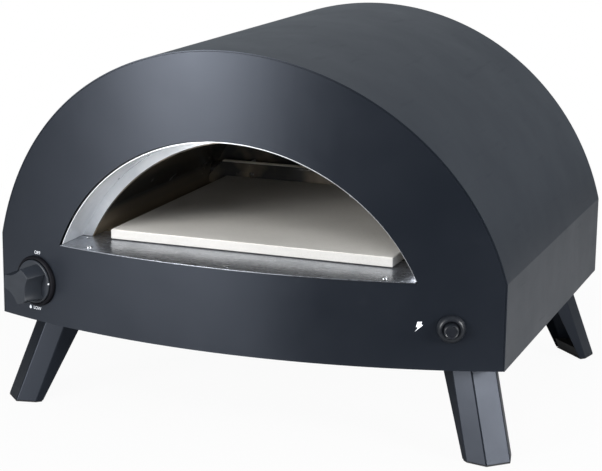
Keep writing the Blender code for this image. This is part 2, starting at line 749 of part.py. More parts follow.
def add_chamber():
    """The liner with its front wall, the wall at its back and the blanket round it."""
    run = LINER_REAR_Y - LINER_FRONT_Y
    liner = flat("chamber_liner", LINER_ARCH.points(LINER_FOOT), run, across(LINER_REAR_Y), "black_enamel")
    bore = LINER_ARCH.points(LINER_FOOT - OVERRUN, LINER_SHEET)
    cut(liner, flat("liner_bore", bore, run - LINER_SHEET + OVERRUN, across(LINER_REAR_Y + OVERRUN)))
    mouth = MOUTH_ARCH.points(SILL_UNDER - CLEARANCE, TRIM_FLANGE + LINER_LIP)
    cut(liner, flat("liner_mouth", mouth, 2 * OVERRUN, across(LINER_FRONT_Y + OVERRUN)))
    left = along_x(-LINER_WIDTH / 2 - OVERRUN, BURNER_Y, BURNER_Z)
    cut(liner, flat("venturi_hole", circle(VENTURI_RADIUS + CLEARANCE, ROUND_STEPS), 2 * OVERRUN, left))
    right = along_x(LINER_WIDTH / 2 - OVERRUN, BURNER_Y, ELECTRODE_Z)
    cut(liner, flat("electrode_hole", circle(INSULATOR_RADIUS + CLEARANCE, SMALL_STEPS), 2 * OVERRUN, right))
    rear = LINER_ARCH.points(LINER_FOOT, LINER_SHEET + CLEARANCE)
    flat("chamber_rear_wall", rear, SHEET, across(LINER_REAR_Y), "black_enamel")
    foot = LEG_HEIGHT + BLANKET_FOOT
    outer = LINER_ARCH.points(foot, -CLEARANCE - BLANKET)
    inner = LINER_ARCH.points(foot, -CLEARANCE)
    run = BLANKET_REAR - BLANKET_FRONT
    flat("insulation_blanket", outer + inner[::-1], run, across(SIDE_FRONT_Y + BLANKET_REAR), "blanket")


def add_burner_guard():
    """The low wall behind the stone, with a foot, a rounded top and one screw."""
    y = SIDE_FRONT_Y + GUARD_SETBACK
    low, top = SILL_TOP + CLEARANCE, LEG_HEIGHT + GUARD_HEIGHT
    turns = [math.pi / 2 * i / GUARD_STEPS for i in range(GUARD_STEPS + 1)]
    centre_y, centre_z = y + GUARD_BEND, top - GUARD_BEND
    bend = [(centre_y - GUARD_BEND * math.cos(t), centre_z + GUARD_BEND * math.sin(t)) for t in turns]
    profile = [(y + GUARD_FOOT, low), (y, low)] + bend + [(y + GUARD_LIP, top)]
    half = LINER_INNER - GUARD_END_GAP
    quarter = Matrix.Rotation(math.pi / 2, 4, "Z")
    guard = folded("burner_guard", profile[::-1], -half, half, SHEET, quarter, "black_enamel")
    corner = half - GUARD_CORNER
    shape = [(-half, low - SHEET), (half, low - SHEET), (half, top - GUARD_CORNER), (corner, top + SHEET)]
    shape += [(-corner, top + SHEET), (-half, top - GUARD_CORNER)]
    keep(guard, flat("guard_shape", shape, 2 * OVERRUN, across(y + OVERRUN)))
    middle = (low + top) / 2
    hole = circle(SCREW_RADIUS + CLEARANCE, SMALL_STEPS, (GUARD_SCREW_X, middle))
    cut(guard, flat("guard_hole", hole, 2 * OVERRUN, across(y + OVERRUN)))
    shank = SHEET + SCREW_HEAD_HEIGHT
    profile = [
        (0, SCREW_HEAD_HEIGHT + CLEARANCE),
        (SCREW_RADIUS, SCREW_HEAD_HEIGHT),
        (SCREW_HEAD, CLEARANCE),
        (SCREW_RADIUS, CLEARANCE),
        (SCREW_RADIUS, -shank),
        (0, -shank),
    ]
    outwards = Matrix.Translation((GUARD_SCREW_X, y, middle)) @ Matrix.Rotation(math.pi / 2, 4, "X")
    turned("guard_screw", profile, outwards, "stainless", SMALL_STEPS)


def add_burner():
    """The ported tube across the back of the chamber, its two brackets, the venturi and the jet."""
    length = BURNER_START + BURNER_END
    bore = BURNER_RADIUS - BURNER_WALL
    profile = [(0, length), (BURNER_RADIUS, length), (BURNER_RADIUS, 0), (bore, 0), (bore, length - BURNER_WALL)]
    profile.append((0, length - BURNER_WALL))
    burner = turned("burner_tube", profile, along_x(-BURNER_START, BURNER_Y, BURNER_Z), "galvanised", SMALL_STEPS)
    pitch = length / (BURNER_PORTS + 1)
    half_width, half_length = BURNER_PORT_WIDTH / 2, BURNER_PORT_LENGTH / 2
    ports = []
    for i in range(BURNER_PORTS):
        x = -BURNER_START + pitch * (i + 1)
        ports.append(rectangle(x - half_width, x + half_width, BURNER_Y - half_length, BURNER_Y + half_length))
    cut(burner, several("burner_ports", ports, 2 * BURNER_RADIUS, level(BURNER_Z)))
    low = SILL_TOP + CLEARANCE
    step = low + SHEET + CLEARANCE
    half = BURNER_RADIUS + BRACKET_MARGIN
    front, rear, top = BURNER_Y - half, BURNER_Y + half, BURNER_Z + half
    foot_front = SIDE_FRONT_Y + GUARD_SETBACK + GUARD_FOOT + CLEARANCE
    outline = [(-top, front), (-step, front), (-step, foot_front), (-low, foot_front), (-low, rear), (-top, rear)]
    hole = circle(BURNER_RADIUS + CLEARANCE, SMALL_STEPS, (-BURNER_Z, BURNER_Y))
    for side, name in ((1, "right"), (-1, "left")):
        frame = along_x(side * BRACKET_X - BRACKET_PLATE / 2, 0, 0)
        flat(f"burner_bracket_{name}", outline, BRACKET_PLATE, frame, "galvanised", [hole])
    start = -BURNER_START + VENTURI_OVERLAP
    end = start - VENTURI_LENGTH
    flare = end + VENTURI_FLARE
    outer = [(VENTURI_RADIUS, start), (VENTURI_RADIUS, flare), (VENTURI_BELL, end)]
    inner = [(radius - VENTURI_WALL, x) for radius, x in reversed(outer)]
    turned("burner_venturi", outer + inner, along_x(0, BURNER_Y, BURNER_Z), "galvanised", SMALL_STEPS)
    tip = end + JET_TIP_LENGTH
    jet_end = tip - JET_LENGTH
    profile = [(0, tip), (JET_TIP_RADIUS, tip), (JET_RADIUS, end), (JET_RADIUS, jet_end), (0, jet_end)]
    turned("gas_jet", profile, along_x(0, BURNER_Y, BURNER_Z), "brass", SMALL_STEPS)
    return jet_end


def add_gas_line(jet_end):
    """The valve with its bracket, and the pipes from the inlet to the valve and from the valve to the jet."""
    frame = bow_frame(KNOB_X, LEG_HEIGHT + KNOB_HEIGHT)
    half_width, half_height = VALVE_WIDTH / 2, VALVE_HEIGHT / 2
    box = rectangle(-half_width, half_width, -half_height, half_height)
    valve = flat("gas_valve", box, VALVE_REAR - VALVE_FRONT, frame @ level(-VALVE_REAR), "brass")
    outlet = VALVE_REAR + VALVE_PORT_LENGTH
    neck = [(0, VALVE_PROUD), (VALVE_NECK, VALVE_PROUD), (VALVE_NECK, -VALVE_FRONT - CLEARANCE)]
    neck += [(VALVE_PORT, -VALVE_FRONT - CLEARANCE), (VALVE_PORT, -outlet), (0, -outlet)]
    join(valve, turned("valve_neck", neck, frame, steps=SMALL_STEPS))
    inlet = half_height + VALVE_PORT_LENGTH
    port = [(0, 0), (VALVE_PORT, 0), (VALVE_PORT, -inlet), (0, -inlet)]
    down = frame @ Matrix.Translation((0, 0, -VALVE_INLET_DEPTH)) @ Matrix.Rotation(-math.pi / 2, 4, "X")
    join(valve, turned("valve_inlet", port, down, steps=SMALL_STEPS))
    bore_foot = STEM_FOOT + KNOB_STROKE + CLEARANCE
    bore = circle(STEM_BORE, SMALL_STEPS)
    cut(valve, flat("stem_bore", bore, bore_foot + OVERRUN, frame @ level(-bore_foot)))

    plate_front = VALVE_FRONT - CLEARANCE - VALVE_PLATE
    half = VALVE_PLATE_WIDTH / 2
    sag = BOW_RADIUS - math.sqrt(BOW_RADIUS**2 - half**2)
    rim = -SHEET - sag - CLEARANCE
    plate_back = -plate_front - VALVE_PLATE
    profile = [(-half, rim), (-half, plate_back), (half, plate_back), (half, rim)]
    reach = VALVE_PLATE_HEIGHT / 2
    bracket = folded("valve_bracket", profile, -reach, reach, VALVE_PLATE, frame, "galvanised")
    hole = circle(VALVE_NECK + CLEARANCE, SMALL_STEPS)
    cut(bracket, flat("bracket_hole", hole, 2 * OVERRUN, frame @ level(-plate_front - OVERRUN)))

    start = frame @ Vector((0, 0, -outlet - CLEARANCE))
    out = frame @ Vector((0, 0, -outlet - 3 * PIPE_BEND))
    side = jet_end - 2 * PIPE_BEND
    route = [start, out, (side, out.y + 2 * PIPE_BEND, start.z), (side, BURNER_Y, start.z)]
    route += [(side, BURNER_Y, BURNER_Z), (jet_end - CLEARANCE, BURNER_Y, BURNER_Z)]
    tube("burner_pipe", rounded_route(route, PIPE_BEND), PIPE_RADIUS, "galvanised")

    start = down @ Vector((0, 0, -inlet - CLEARANCE))
    run_z = LEG_HEIGHT + INLET_RUN_HEIGHT
    inlet_z = LEG_HEIGHT + INLET_HEIGHT
    end = REAR_INNER_Y - INLET_THREAD_LENGTH - CLEARANCE
    route = [start, (start.x, start.y, run_z), (INLET_X, end - 6 * PIPE_BEND, run_z)]
    route += [(INLET_X, end - 2 * PIPE_BEND, inlet_z), (INLET_X, end, inlet_z)]
    tube("inlet_pipe", rounded_route(route, PIPE_BEND), PIPE_RADIUS, "galvanised")


def add_inlet():
    """The hose fitting through the rear panel, and its nut inside."""
    frame = along_y(INLET_X, REAR_FACE_Y, LEG_HEIGHT + INLET_HEIGHT)
    tip = INLET_PROUD + REAR_INSET
    barb_pitch = (tip - INLET_HEX_LENGTH - 2 * CLEARANCE) / (INLET_BARBS + 1)
    profile = []
    for i in range(INLET_BARBS):
        top = tip - i * barb_pitch
        profile += [(INLET_BARB - INLET_BARB_STEP, top), (INLET_BARB, top - barb_pitch + INLET_BARB_STEP / 2)]
        profile.append((INLET_BARB - INLET_BARB_STEP, top - barb_pitch))
    neck = INLET_BARB - INLET_BARB_STEP
    low = -SHEET - INLET_THREAD_LENGTH
    profile = [point for i, point in enumerate(profile) if i == 0 or point != profile[i - 1]]
    profile += [(neck, INLET_HEX_LENGTH), (INLET_THREAD, INLET_HEX_LENGTH), (INLET_THREAD, low)]
    profile += [(INLET_BORE, low), (INLET_BORE, tip)]
    fitting = turned("inlet_fitting", profile, frame, "brass", SMALL_STEPS)
    bore = [circle(INLET_THREAD - CLEARANCE, SMALL_STEPS)]
    hexagon = flat("inlet_hex", circle(INLET_HEX, 6), INLET_HEX_LENGTH, frame @ level(CLEARANCE), holes=bore)
    join(fitting, hexagon)
    nut_hole = [circle(INLET_THREAD + CLEARANCE, SMALL_STEPS)]
    nut = circle(INLET_THREAD + NUT_MARGIN, 6)
    nut_frame = frame @ level(-SHEET - CLEARANCE - NUT_THICKNESS)
    flat("inlet_nut", nut, NUT_THICKNESS, nut_frame, "brass", nut_hole)


def coil(radius, turns, low, high, frame):
    """The points of a spring wire about the frame's Z."""
    count = turns * SPRING_STEPS
    points = []
    for i in range(count + 1):
        angle = 2 * math.pi * turns * i / count
        height = low + (high - low) * i / count
        points.append(frame @ Vector((radius * math.cos(angle), radius * math.sin(angle), height)))
    return points


def knob_outline(radius):
    """A round outline with shallow hollows between its lobes."""
    count = LOBE_STEPS * GRIP_LOBES
    outline = []
    for i in range(count):
        turn = 2 * math.pi * i / count
        hollow = (1 - math.cos(GRIP_LOBES * turn)) / 2
        reach = radius - GRIP_FLUTE * hollow**2
        outline.append((reach * math.cos(turn), reach * math.sin(turn)))
    return outline


def add_knob():
    """The knob on its stem, the spring that pushes it out, and the fixed ring round its skirt."""
    frame = bow_frame(KNOB_X, LEG_HEIGHT + KNOB_HEIGHT)
    grip_low = KNOB_FOOT + SKIRT_HEIGHT / 2
    outline = knob_outline(GRIP_RADIUS)
    grip = flat("control_knob", outline, KNOB_TOP - grip_low, frame @ level(grip_low), "black_plastic")
    edge = grip.modifiers.new("rounding", "BEVEL")
    edge.width = GRIP_ROUNDING
    edge.segments = 2
    edge.angle_limit = 2 * SHARP_ANGLE
    waist = GRIP_RADIUS - GRIP_FLUTE
    skirt_top = KNOB_FOOT + SKIRT_HEIGHT
    skirt = [(0, skirt_top), (waist, skirt_top), (SKIRT_RADIUS, KNOB_FOOT + SKIRT_HEIGHT / 3)]
    skirt += [(SKIRT_RADIUS, KNOB_FOOT), (0, KNOB_FOOT)]
    join(grip, turned("knob_skirt", skirt, frame))
    stem_seat = STEM_TOP + CLEARANCE
    hollow_foot = KNOB_FOOT - OVERRUN
    hollow = [(0, stem_seat), (STEM_BORE, stem_seat), (STEM_BORE, KNOB_HOLLOW_TOP)]
    hollow += [(KNOB_HOLLOW, KNOB_HOLLOW_TOP), (KNOB_HOLLOW, hollow_foot), (0, hollow_foot)]
    cut(grip, turned("knob_hollow", hollow, frame, steps=SMALL_STEPS))
    stem = [(0, STEM_TOP), (STEM_RADIUS, STEM_TOP), (STEM_RADIUS, -STEM_FOOT), (0, -STEM_FOOT)]
    turned("valve_stem", stem, frame, "galvanised", SMALL_STEPS)
    top = RETAINER_HEIGHT + RETAINER_THICKNESS
    retainer = [(RETAINER_RADIUS, top), (RETAINER_RADIUS, RETAINER_HEIGHT)]
    retainer += [(STEM_BORE, RETAINER_HEIGHT), (STEM_BORE, top)]
    turned("spring_retainer", retainer, frame, "galvanised", SMALL_STEPS)
    low = VALVE_PROUD + CLEARANCE + SPRING_WIRE
    high = RETAINER_HEIGHT - CLEARANCE - SPRING_WIRE
    tube("valve_spring", coil(SPRING_RADIUS, SPRING_TURNS, low, high, frame), SPRING_WIRE, "galvanised", 1)
    bore = SKIRT_RADIUS + BEZEL_GAP
    rim = bore + BEZEL_WALL
    ring = [(rim, BEZEL_HEIGHT), (rim, CLEARANCE), (bore, CLEARANCE), (bore, BEZEL_HEIGHT)]
    turned("knob_bezel", ring, frame, "black_plastic")


def add_igniter():
    """The push igniter, its nut and spring, the lead, and the electrode at the burner's right end."""
    frame = bow_frame(IGNITER_X, LEG_HEIGHT + IGNITER_HEIGHT)
    bore = BUTTON_RADIUS + RUNNING_GAP
    rear = -IGNITER_BARREL_LENGTH
    profile = [
        (IGNITER_COLLAR, IGNITER_COLLAR_TOP),
        (IGNITER_FLANGE, IGNITER_FLANGE_EDGE),
        (IGNITER_FLANGE, CLEARANCE),
        (IGNITER_BARREL, CLEARANCE),
        (IGNITER_BARREL, rear),
        (LEAD_RADIUS, rear),
        (LEAD_RADIUS, rear + IGNITER_END_WALL),
        (bore, rear + IGNITER_END_WALL),
        (bore, IGNITER_COLLAR_TOP),
    ]
    turned("igniter_housing", profile, frame, "black_plastic")
    sag = BOW_RADIUS - math.sqrt(BOW_RADIUS**2 - IGNITER_FLANGE**2)
    nut_frame = frame @ level(-SHEET - sag - CLEARANCE - NUT_THICKNESS)
    hole = [circle(IGNITER_BARREL + CLEARANCE, SMALL_STEPS)]
    flat("igniter_nut", circle(IGNITER_BARREL + NUT_MARGIN, 6), NUT_THICKNESS, nut_frame, "galvanised", hole)
    shoulder = BUTTON_RADIUS - BUTTON_EDGE
    button = [
        (0, BUTTON_TOP),
        (shoulder, BUTTON_TOP - BUTTON_EDGE / 6),
        (BUTTON_RADIUS - BUTTON_EDGE / 4, BUTTON_TOP - BUTTON_EDGE / 2),
        (BUTTON_RADIUS, BUTTON_TOP - BUTTON_EDGE),
        (BUTTON_RADIUS, -BUTTON_FOOT),
        (0, -BUTTON_FOOT),
    ]
    turned("igniter_button", button, frame, "black_plastic")
    low = rear + IGNITER_END_WALL + CLEARANCE + SPRING_WIRE
    high = -BUTTON_FOOT - CLEARANCE - SPRING_WIRE
    wire = coil(BUTTON_RADIUS - BUTTON_EDGE, IGNITER_SPRING_TURNS, low, high, frame)
    tube("igniter_spring", wire, SPRING_WIRE, "galvanised", 1)

    wall = LINER_WIDTH / 2
    outside = wall + INSULATOR_OUTSIDE
    inside = wall - LINER_SHEET - INSULATOR_INSIDE
    collar_end = wall + CLEARANCE + 2 * LEAD_RADIUS
    insulator_bore = ELECTRODE_RADIUS + RUNNING_GAP
    profile = [
        (INSULATOR_RADIUS, outside),
        (INSULATOR_RADIUS, collar_end),
        (INSULATOR_COLLAR, collar_end),
        (INSULATOR_COLLAR, wall + CLEARANCE),
        (INSULATOR_RADIUS, wall + CLEARANCE),
        (INSULATOR_RADIUS, inside),
        (insulator_bore, inside),
        (insulator_bore, outside),
    ]
    axis = along_x(0, BURNER_Y, ELECTRODE_Z)
    turned("electrode_insulator", profile, axis, "ceramic", SMALL_STEPS)
    tail = outside + ELECTRODE_TAIL
    rod = [(tail, BURNER_Y, ELECTRODE_Z), (BURNER_END + ELECTRODE_GAP, BURNER_Y, ELECTRODE_Z)]
    tube("spark_electrode", rod, ELECTRODE_RADIUS, "stainless", 1)
    start = frame @ Vector((0, 0, rear - CLEARANCE))
    out = frame @ Vector((0, 0, rear - LEAD_BEND))
    far = BODY_WIDTH / 2 - SHEET - 2 * LEAD_BEND
    end = tail + CLEARANCE
    route = [start, out, (far, (out.y + BURNER_Y) / 2, (start.z + ELECTRODE_Z) / 2)]
    route += [(far, BURNER_Y - LEAD_BEND, ELECTRODE_Z), (end + LEAD_BEND / 2, BURNER_Y, ELECTRODE_Z)]
    route.append((end, BURNER_Y, ELECTRODE_Z))
    tube("ignition_lead", rounded_route(route, LEAD_BEND), LEAD_RADIUS, "rubber", 1)


def leg_section(depth):
    """The leg's section about the pivot, counter-clockwise: (across, outward), with its open side inwards."""
    web = LEG_PIVOT_DEPTH
    right = [(LEG_WIDTH / 2, web - depth), (LEG_WIDTH / 2, web - LEG_SHOULDER), (LEG_WEB / 2, web)]
    return right + [(-x, z) for x, z in reversed(right)]


def add_legs():
    """Four channels on brackets under the corners, each with its pin and foot pad."""
    tilt = Matrix.Rotation(LEG_SPLAY - math.pi / 2, 4, "X")
    sideways = Matrix.Rotation(math.pi / 2, 4, "Z") @ Matrix.Rotation(math.pi / 2, 4, "X")
    depth = LEG_PIVOT_DEPTH + LEG_ROUND
    floor = -PIVOT_Z
    length = PIVOT_Z / math.cos(LEG_SPLAY) + LEG_WIDTH
    leg = folded("leg_form", leg_section(depth), -LEG_WIDTH, length, SHEET, tilt)
    sweep = (math.pi / 2 + LEG_SPLAY) / LEG_ROUND_STEPS
    turns = [math.pi / 2 + sweep * i for i in range(LEG_ROUND_STEPS + 1)]
    rounding = [(LEG_ROUND * math.cos(t), LEG_ROUND * math.sin(t)) for t in turns]
    foot_z = floor + PAD_TOP
    outer_foot = LEG_PIVOT_DEPTH / math.cos(LEG_SPLAY) - foot_z * math.tan(LEG_SPLAY)
    back_foot = outer_foot - LEG_FOOT_DEPTH / math.cos(LEG_SPLAY)
    silhouette = rounding + [(back_foot, foot_z), (outer_foot + OVERRUN, foot_z), (outer_foot + OVERRUN, LEG_ROUND)]
    over = LEG_WIDTH / 2 + OVERRUN
    keep(leg, flat("leg_side", silhouette, 2 * over, sideways @ level(-over)))
    pin_hole = flat("pin_hole", circle(PIN_RADIUS + PIN_GAP, SMALL_STEPS), 2 * over, sideways @ level(-over))
    cut(leg, pin_hole)

    ear = LEG_WIDTH / 2 - SHEET - CLEARANCE
    top = PIVOT_DROP - CLEARANCE
    profile = [(ear, -EAR_REACH), (ear, top), (-ear, top), (-ear, -EAR_REACH)]
    bracket = folded("bracket_form", profile, -BRACKET_LENGTH, EAR_REACH, EAR_SHEET)
    slope = (EAR_REACH - top * math.sin(LEG_SPLAY)) / math.cos(LEG_SPLAY)
    plate_low = top - EAR_SHEET - BRACKET_LIP
    side = [
        (slope, top),
        (-BRACKET_LENGTH, top),
        (-BRACKET_LENGTH, plate_low),
        (-EAR_REACH - EAR_BACK, plate_low),
        (-EAR_REACH, -EAR_REACH),
        (EAR_REACH / 2, -EAR_REACH),
        (EAR_REACH, -EAR_REACH / 2),
        (EAR_REACH, EAR_REACH * math.tan(LEG_SPLAY / 2)),
    ]
    keep(bracket, flat("bracket_side", side, 2 * over, sideways @ level(-over)))
    cut(bracket, pin_hole)

    shaft = LEG_WIDTH / 2 + CLEARANCE
    end = shaft + PIN_HEAD_HEIGHT
    rim = PIN_HEAD - PIN_GAP
    pin_profile = [(0, end), (PIN_RADIUS, end), (rim, shaft + PIN_HEAD_HEIGHT / 2)]
    pin_profile += [(PIN_HEAD, shaft), (PIN_RADIUS, shaft)]
    pin_profile += [(radius, -height) for radius, height in reversed(pin_profile)]
    pin = turned("pin_form", pin_profile, sideways, steps=SMALL_STEPS)

    section = leg_section(LEG_FOOT_DEPTH)
    along = tilt @ Matrix.Translation((0, length, 0)) @ Matrix.Rotation(math.pi / 2, 4, "X")
    plug = flat("pad_form", inset_outline(section, SEAT), length, along)
    sole = flat("pad_sole", inset_outline(section, PAD_MARGIN), length, along)
    reach = LEG_HEIGHT + LEG_WIDTH
    square = rectangle(-reach, reach, -reach, reach)
    keep(plug, flat("plug_slab", square, PAD_PLUG, level(floor)))
    keep(sole, flat("sole_slab", square, PAD_SOLE, level(floor)))
    join(plug, sole)

    forms = (("leg", leg, "black_coat"), ("leg_bracket", bracket, "galvanised"))
    forms += (("leg_pin", pin, "galvanised"), ("foot_pad", plug, "rubber"))
    x = BODY_WIDTH / 2 - LEG_INSET_SIDE
    corners = (
        ("front_left", -x, SIDE_FRONT_Y + LEG_INSET_END, 135),
        ("front_right", x, SIDE_FRONT_Y + LEG_INSET_END, 225),
        ("rear_right", x, REAR_Y - LEG_INSET_END, 315),
        ("rear_left", -x, REAR_Y - LEG_INSET_END, 45),
    )
    for kind, form, look in forms:
        mesh = mesh_of(form)
        mesh.transform(form.matrix_world)
        mesh.materials.clear()
        mesh.materials.append(finish(look))
        for corner, x, y, degrees in corners:
            turn = Matrix.Rotation(math.radians(degrees), 4, "Z")
            obj = bpy.data.objects.new(f"{kind}_{corner}", mesh)
            obj.matrix_world = Matrix.Translation((x, y, PIVOT_Z)) @ turn
            PARTS.objects.link(obj)


def main():
    """Clears the scene and builds the oven."""
    global PARTS, CUTTERS
    for obj in list(bpy.data.objects):
        bpy.data.objects.remove(obj)
    PARTS = bpy.data.collections.new("pizza_oven")
    CUTTERS = bpy.data.collections.new("cutters")
    for group in (PARTS, CUTTERS):
        bpy.context.scene.collection.children.link(group)
    add_outer_shell()
    add_front_panel()
    add_rear_panel()
    add_base_pan()
    add_mouth_arch_trim()
    add_mouth_sill()
    add_sill_screws()
    add_pizza_stone()
    add_hearth()
    add_chamber()
    add_burner_guard()
    add_gas_line(add_burner())
    add_inlet()
    add_knob()
    add_igniter()
    add_legs()


main()
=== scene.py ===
"""The looks of a portable gas pizza oven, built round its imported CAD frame.

Units are metres. +X is to the right of someone at the mouth, +Y to the back and +Z up.
The table is at z = 0.
"""

import logging
import math
from collections.abc import Callable, Sequence
from dataclasses import dataclass, replace
from enum import Enum
from itertools import pairwise

import bmesh
import bpy
from bpy.types import Material, NodeSocket, Object
from mathutils import Matrix, Vector


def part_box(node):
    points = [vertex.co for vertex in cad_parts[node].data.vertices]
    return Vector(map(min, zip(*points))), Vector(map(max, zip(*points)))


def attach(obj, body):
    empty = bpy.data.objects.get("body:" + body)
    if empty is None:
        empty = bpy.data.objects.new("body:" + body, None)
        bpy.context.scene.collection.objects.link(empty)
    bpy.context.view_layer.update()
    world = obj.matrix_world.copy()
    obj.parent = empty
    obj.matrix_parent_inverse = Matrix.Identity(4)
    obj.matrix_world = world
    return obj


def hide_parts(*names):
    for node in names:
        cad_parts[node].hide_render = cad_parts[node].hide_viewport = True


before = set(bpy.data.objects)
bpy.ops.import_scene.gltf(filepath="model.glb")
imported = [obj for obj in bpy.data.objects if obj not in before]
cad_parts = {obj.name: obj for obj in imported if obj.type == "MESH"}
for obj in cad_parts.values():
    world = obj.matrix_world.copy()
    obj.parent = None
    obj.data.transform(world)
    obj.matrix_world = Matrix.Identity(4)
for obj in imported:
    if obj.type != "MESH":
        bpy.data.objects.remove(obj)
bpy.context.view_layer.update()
LOG = logging.getLogger("pizza_oven")
Pair = tuple[float, float]
Triple = tuple[float, float, float]
Colour = Triple

# Places nearer than NEAR count as the same, and corners nearer than WELD are welded.
NEAR = 1e-5
WELD = 2e-6
# Faces within FLAT_ANGLE of each other are joined. The other two are the least angles of a sharp edge.
FLAT_ANGLE = math.radians(0.05)
SMOOTH_ANGLE = math.radians(32)
SHADE_ANGLE = math.radians(50)
QUARTER = math.pi / 2
# How strongly wide faces keep their own shading.
FACE_WEIGHT = 80
# How far a tool runs past what it cuts, and the clearance between pieces.
OVERRUN = 0.01
GAP = 0.0003
# The height of the panel's and the liner's edges under the sill.
SILL_SEAT = 0.1777
# The x and z of each control on the front panel.
KNOB_AT: Pair = (-0.2165, 0.137)
IGNITER_AT: Pair = (0.217, 0.136)


class Element(Enum):
    """What a selection test looks at."""

    VERTS = "VERT"
    EDGES = "EDGE"
    FACES = "FACE"


class Tool(Enum):
    """What a solid tool does to a piece: cuts its form out, is joined on, or trims what is outside it."""

    CUT = "DIFFERENCE"
    JOIN = "UNION"
    TRIM = "INTERSECT"


class Mixing(Enum):
    """How two values or colours are put together."""

    ADD = "ADD"
    MULTIPLY = "MULTIPLY"
    MIX = "MIX"


class Bench:
    """Modelling moves in Blender, each on one object, as they are made by hand."""

    @staticmethod
    def take(obj: Object) -> None:
        """Selects one object alone and makes it active.

        Args:
            obj: The object to work on.
        """
        if bpy.context.mode != "OBJECT":
            bpy.ops.object.mode_set(mode="OBJECT")
        bpy.ops.object.select_all(action="DESELECT")
        obj.select_set(True)
        bpy.context.view_layer.objects.active = obj

    @staticmethod
    def started(name: str) -> Object:
        """Names the primitive that was just added and applies its place.

        Args:
            name: The name of the piece or tool.

        Returns:
            The new object, at the origin.
        """
        obj = bpy.context.active_object
        obj.name = obj.data.name = name
        Bench.settle(obj)
        return obj

    @staticmethod
    def settle(obj: Object) -> None:
        """Applies an object's place, turn and scale to its mesh."""
        Bench.take(obj)
        bpy.ops.object.transform_apply(location=True, rotation=True, scale=True)

    @staticmethod
    def edit(obj: Object) -> None:
        """Opens an object in edit mode with all of it selected.

        Args:
            obj: The object to edit.
        """
        Bench.take(obj)
        bpy.ops.object.mode_set(mode="EDIT")
        bpy.ops.mesh.select_mode(type=Element.VERTS.value)
        bpy.ops.mesh.select_all(action="SELECT")

    @staticmethod
    def close() -> None:
        """Leaves edit mode."""
        bpy.ops.object.mode_set(mode="OBJECT")

    @staticmethod
    def pick(obj: Object, element: Element, test: Callable[..., bool]) -> int:
        """Selects the parts of a mesh in edit mode that pass a test.

        Args:
            obj: The object in edit mode.
            element: What the test looks at.
            test: Says whether one vertex, edge or face is selected.

        Returns:
            How many were selected.
        """
        bpy.ops.mesh.select_all(action="DESELECT")
        bpy.ops.mesh.select_mode(type=element.value)
        mesh = bmesh.from_edit_mesh(obj.data)
        mesh.normal_update()
        parts = {Element.VERTS: mesh.verts, Element.EDGES: mesh.edges, Element.FACES: mesh.faces}[element]
        found = [part for part in parts if test(part)]
        for part in found:
            part.select_set(True)
        mesh.select_flush_mode()
        bmesh.update_edit_mesh(obj.data)
        return len(found)

    @staticmethod
    def extrude(x: float, y: float, z: float) -> None:
        """Extrudes what is selected in edit mode along a vector."""
        bpy.ops.mesh.extrude_region_move(TRANSFORM_OT_translate={"value": (x, y, z)})

    @staticmethod
    def bisect(place: Sequence[float], normal: Sequence[float], fill: bool = True) -> None:
        """Cuts the selection of the mesh in edit mode by a plane and clears what lies past it.

        Args:
            place: A point on the plane.
            normal: Points to the side that is cleared.
            fill: Whether the cut is closed.
        """
        bpy.ops.mesh.select_all(action="SELECT")
        bpy.ops.mesh.bisect(plane_co=place, plane_no=normal, clear_outer=True, use_fill=fill)
        bpy.ops.mesh.select_all(action="SELECT")

    @staticmethod
    def tidy(obj: Object) -> None:
        """Welds an object's doubles, joins its flat faces and turns its normals out.

        Args:
            obj: The object to tidy.
        """
        Bench.edit(obj)
        bpy.ops.mesh.remove_doubles(threshold=WELD)
        bpy.ops.mesh.dissolve_limited(angle_limit=FLAT_ANGLE)
        bpy.ops.mesh.normals_make_consistent(inside=False)
        Bench.close()

    @staticmethod
    def apply(obj: Object, kind: str, **settings: object) -> None:
        """Adds a modifier with its settings and applies it.

        Args:
            obj: The object that gets the modifier.
            kind: Blender's name of the modifier's type.
            **settings: The modifier's values by name.
        """
        Bench.take(obj)
        modifier = obj.modifiers.new(kind.lower(), kind)
        for name, value in settings.items():
            setattr(modifier, name, value)
        bpy.ops.object.modifier_apply(modifier=modifier.name)

    @staticmethod
    def combine(obj: Object, use: Tool, *tools: Object) -> Object:
        """Works solid tools into an object and removes them.

        Args:
            obj: The object that is changed.
            use: What the tools do to it.
            *tools: The solids to work with.

        Returns:
            The changed object.
        """
        for tool in tools:
            Bench.apply(obj, "BOOLEAN", object=tool, operation=use.value, solver="EXACT")
            bpy.data.objects.remove(tool)
        Bench.tidy(obj)
        return obj

    @staticmethod
    def smooth(obj: Object, angle: float = SMOOTH_ANGLE) -> None:
        """Shades an object smooth, but for its edges that are sharper than an angle."""
        Bench.take(obj)
        bpy.ops.object.shade_smooth_by_angle(angle=angle)

    @staticmethod
    def settle_shading(obj: Object) -> None:
        """Shades an object's rounded edges smooth and its wide faces flat."""
        Bench.smooth(obj, SHADE_ANGLE)
        Bench.apply(obj, "WEIGHTED_NORMAL", keep_sharp=True, weight=FACE_WEIGHT)

    @staticmethod
    def round_edges(width: float, segments: int) -> None:
        """Rounds the edges that are selected in edit mode."""
        bpy.ops.mesh.bevel(offset=width, segments=segments, affect="EDGES")

    @staticmethod
    def ease(obj: Object, width: float, segments: int = 2, angle: float = SMOOTH_ANGLE) -> Object:
        """Rounds the sharp edges of an object and keeps its wide faces shaded flat.

        Args:
            obj: The object to finish.
            width: The width of the rounding.
            segments: The faces across it.
            angle: The least angle of an edge that is rounded.

        Returns:
            The finished object.
        """
        Bench.apply(
            obj,
            "BEVEL",
            width=width,
            segments=segments,
            limit_method="ANGLE",
            angle_limit=angle,
            use_clamp_overlap=True,
            miter_outer="MITER_ARC",
        )
        Bench.settle_shading(obj)
        return obj

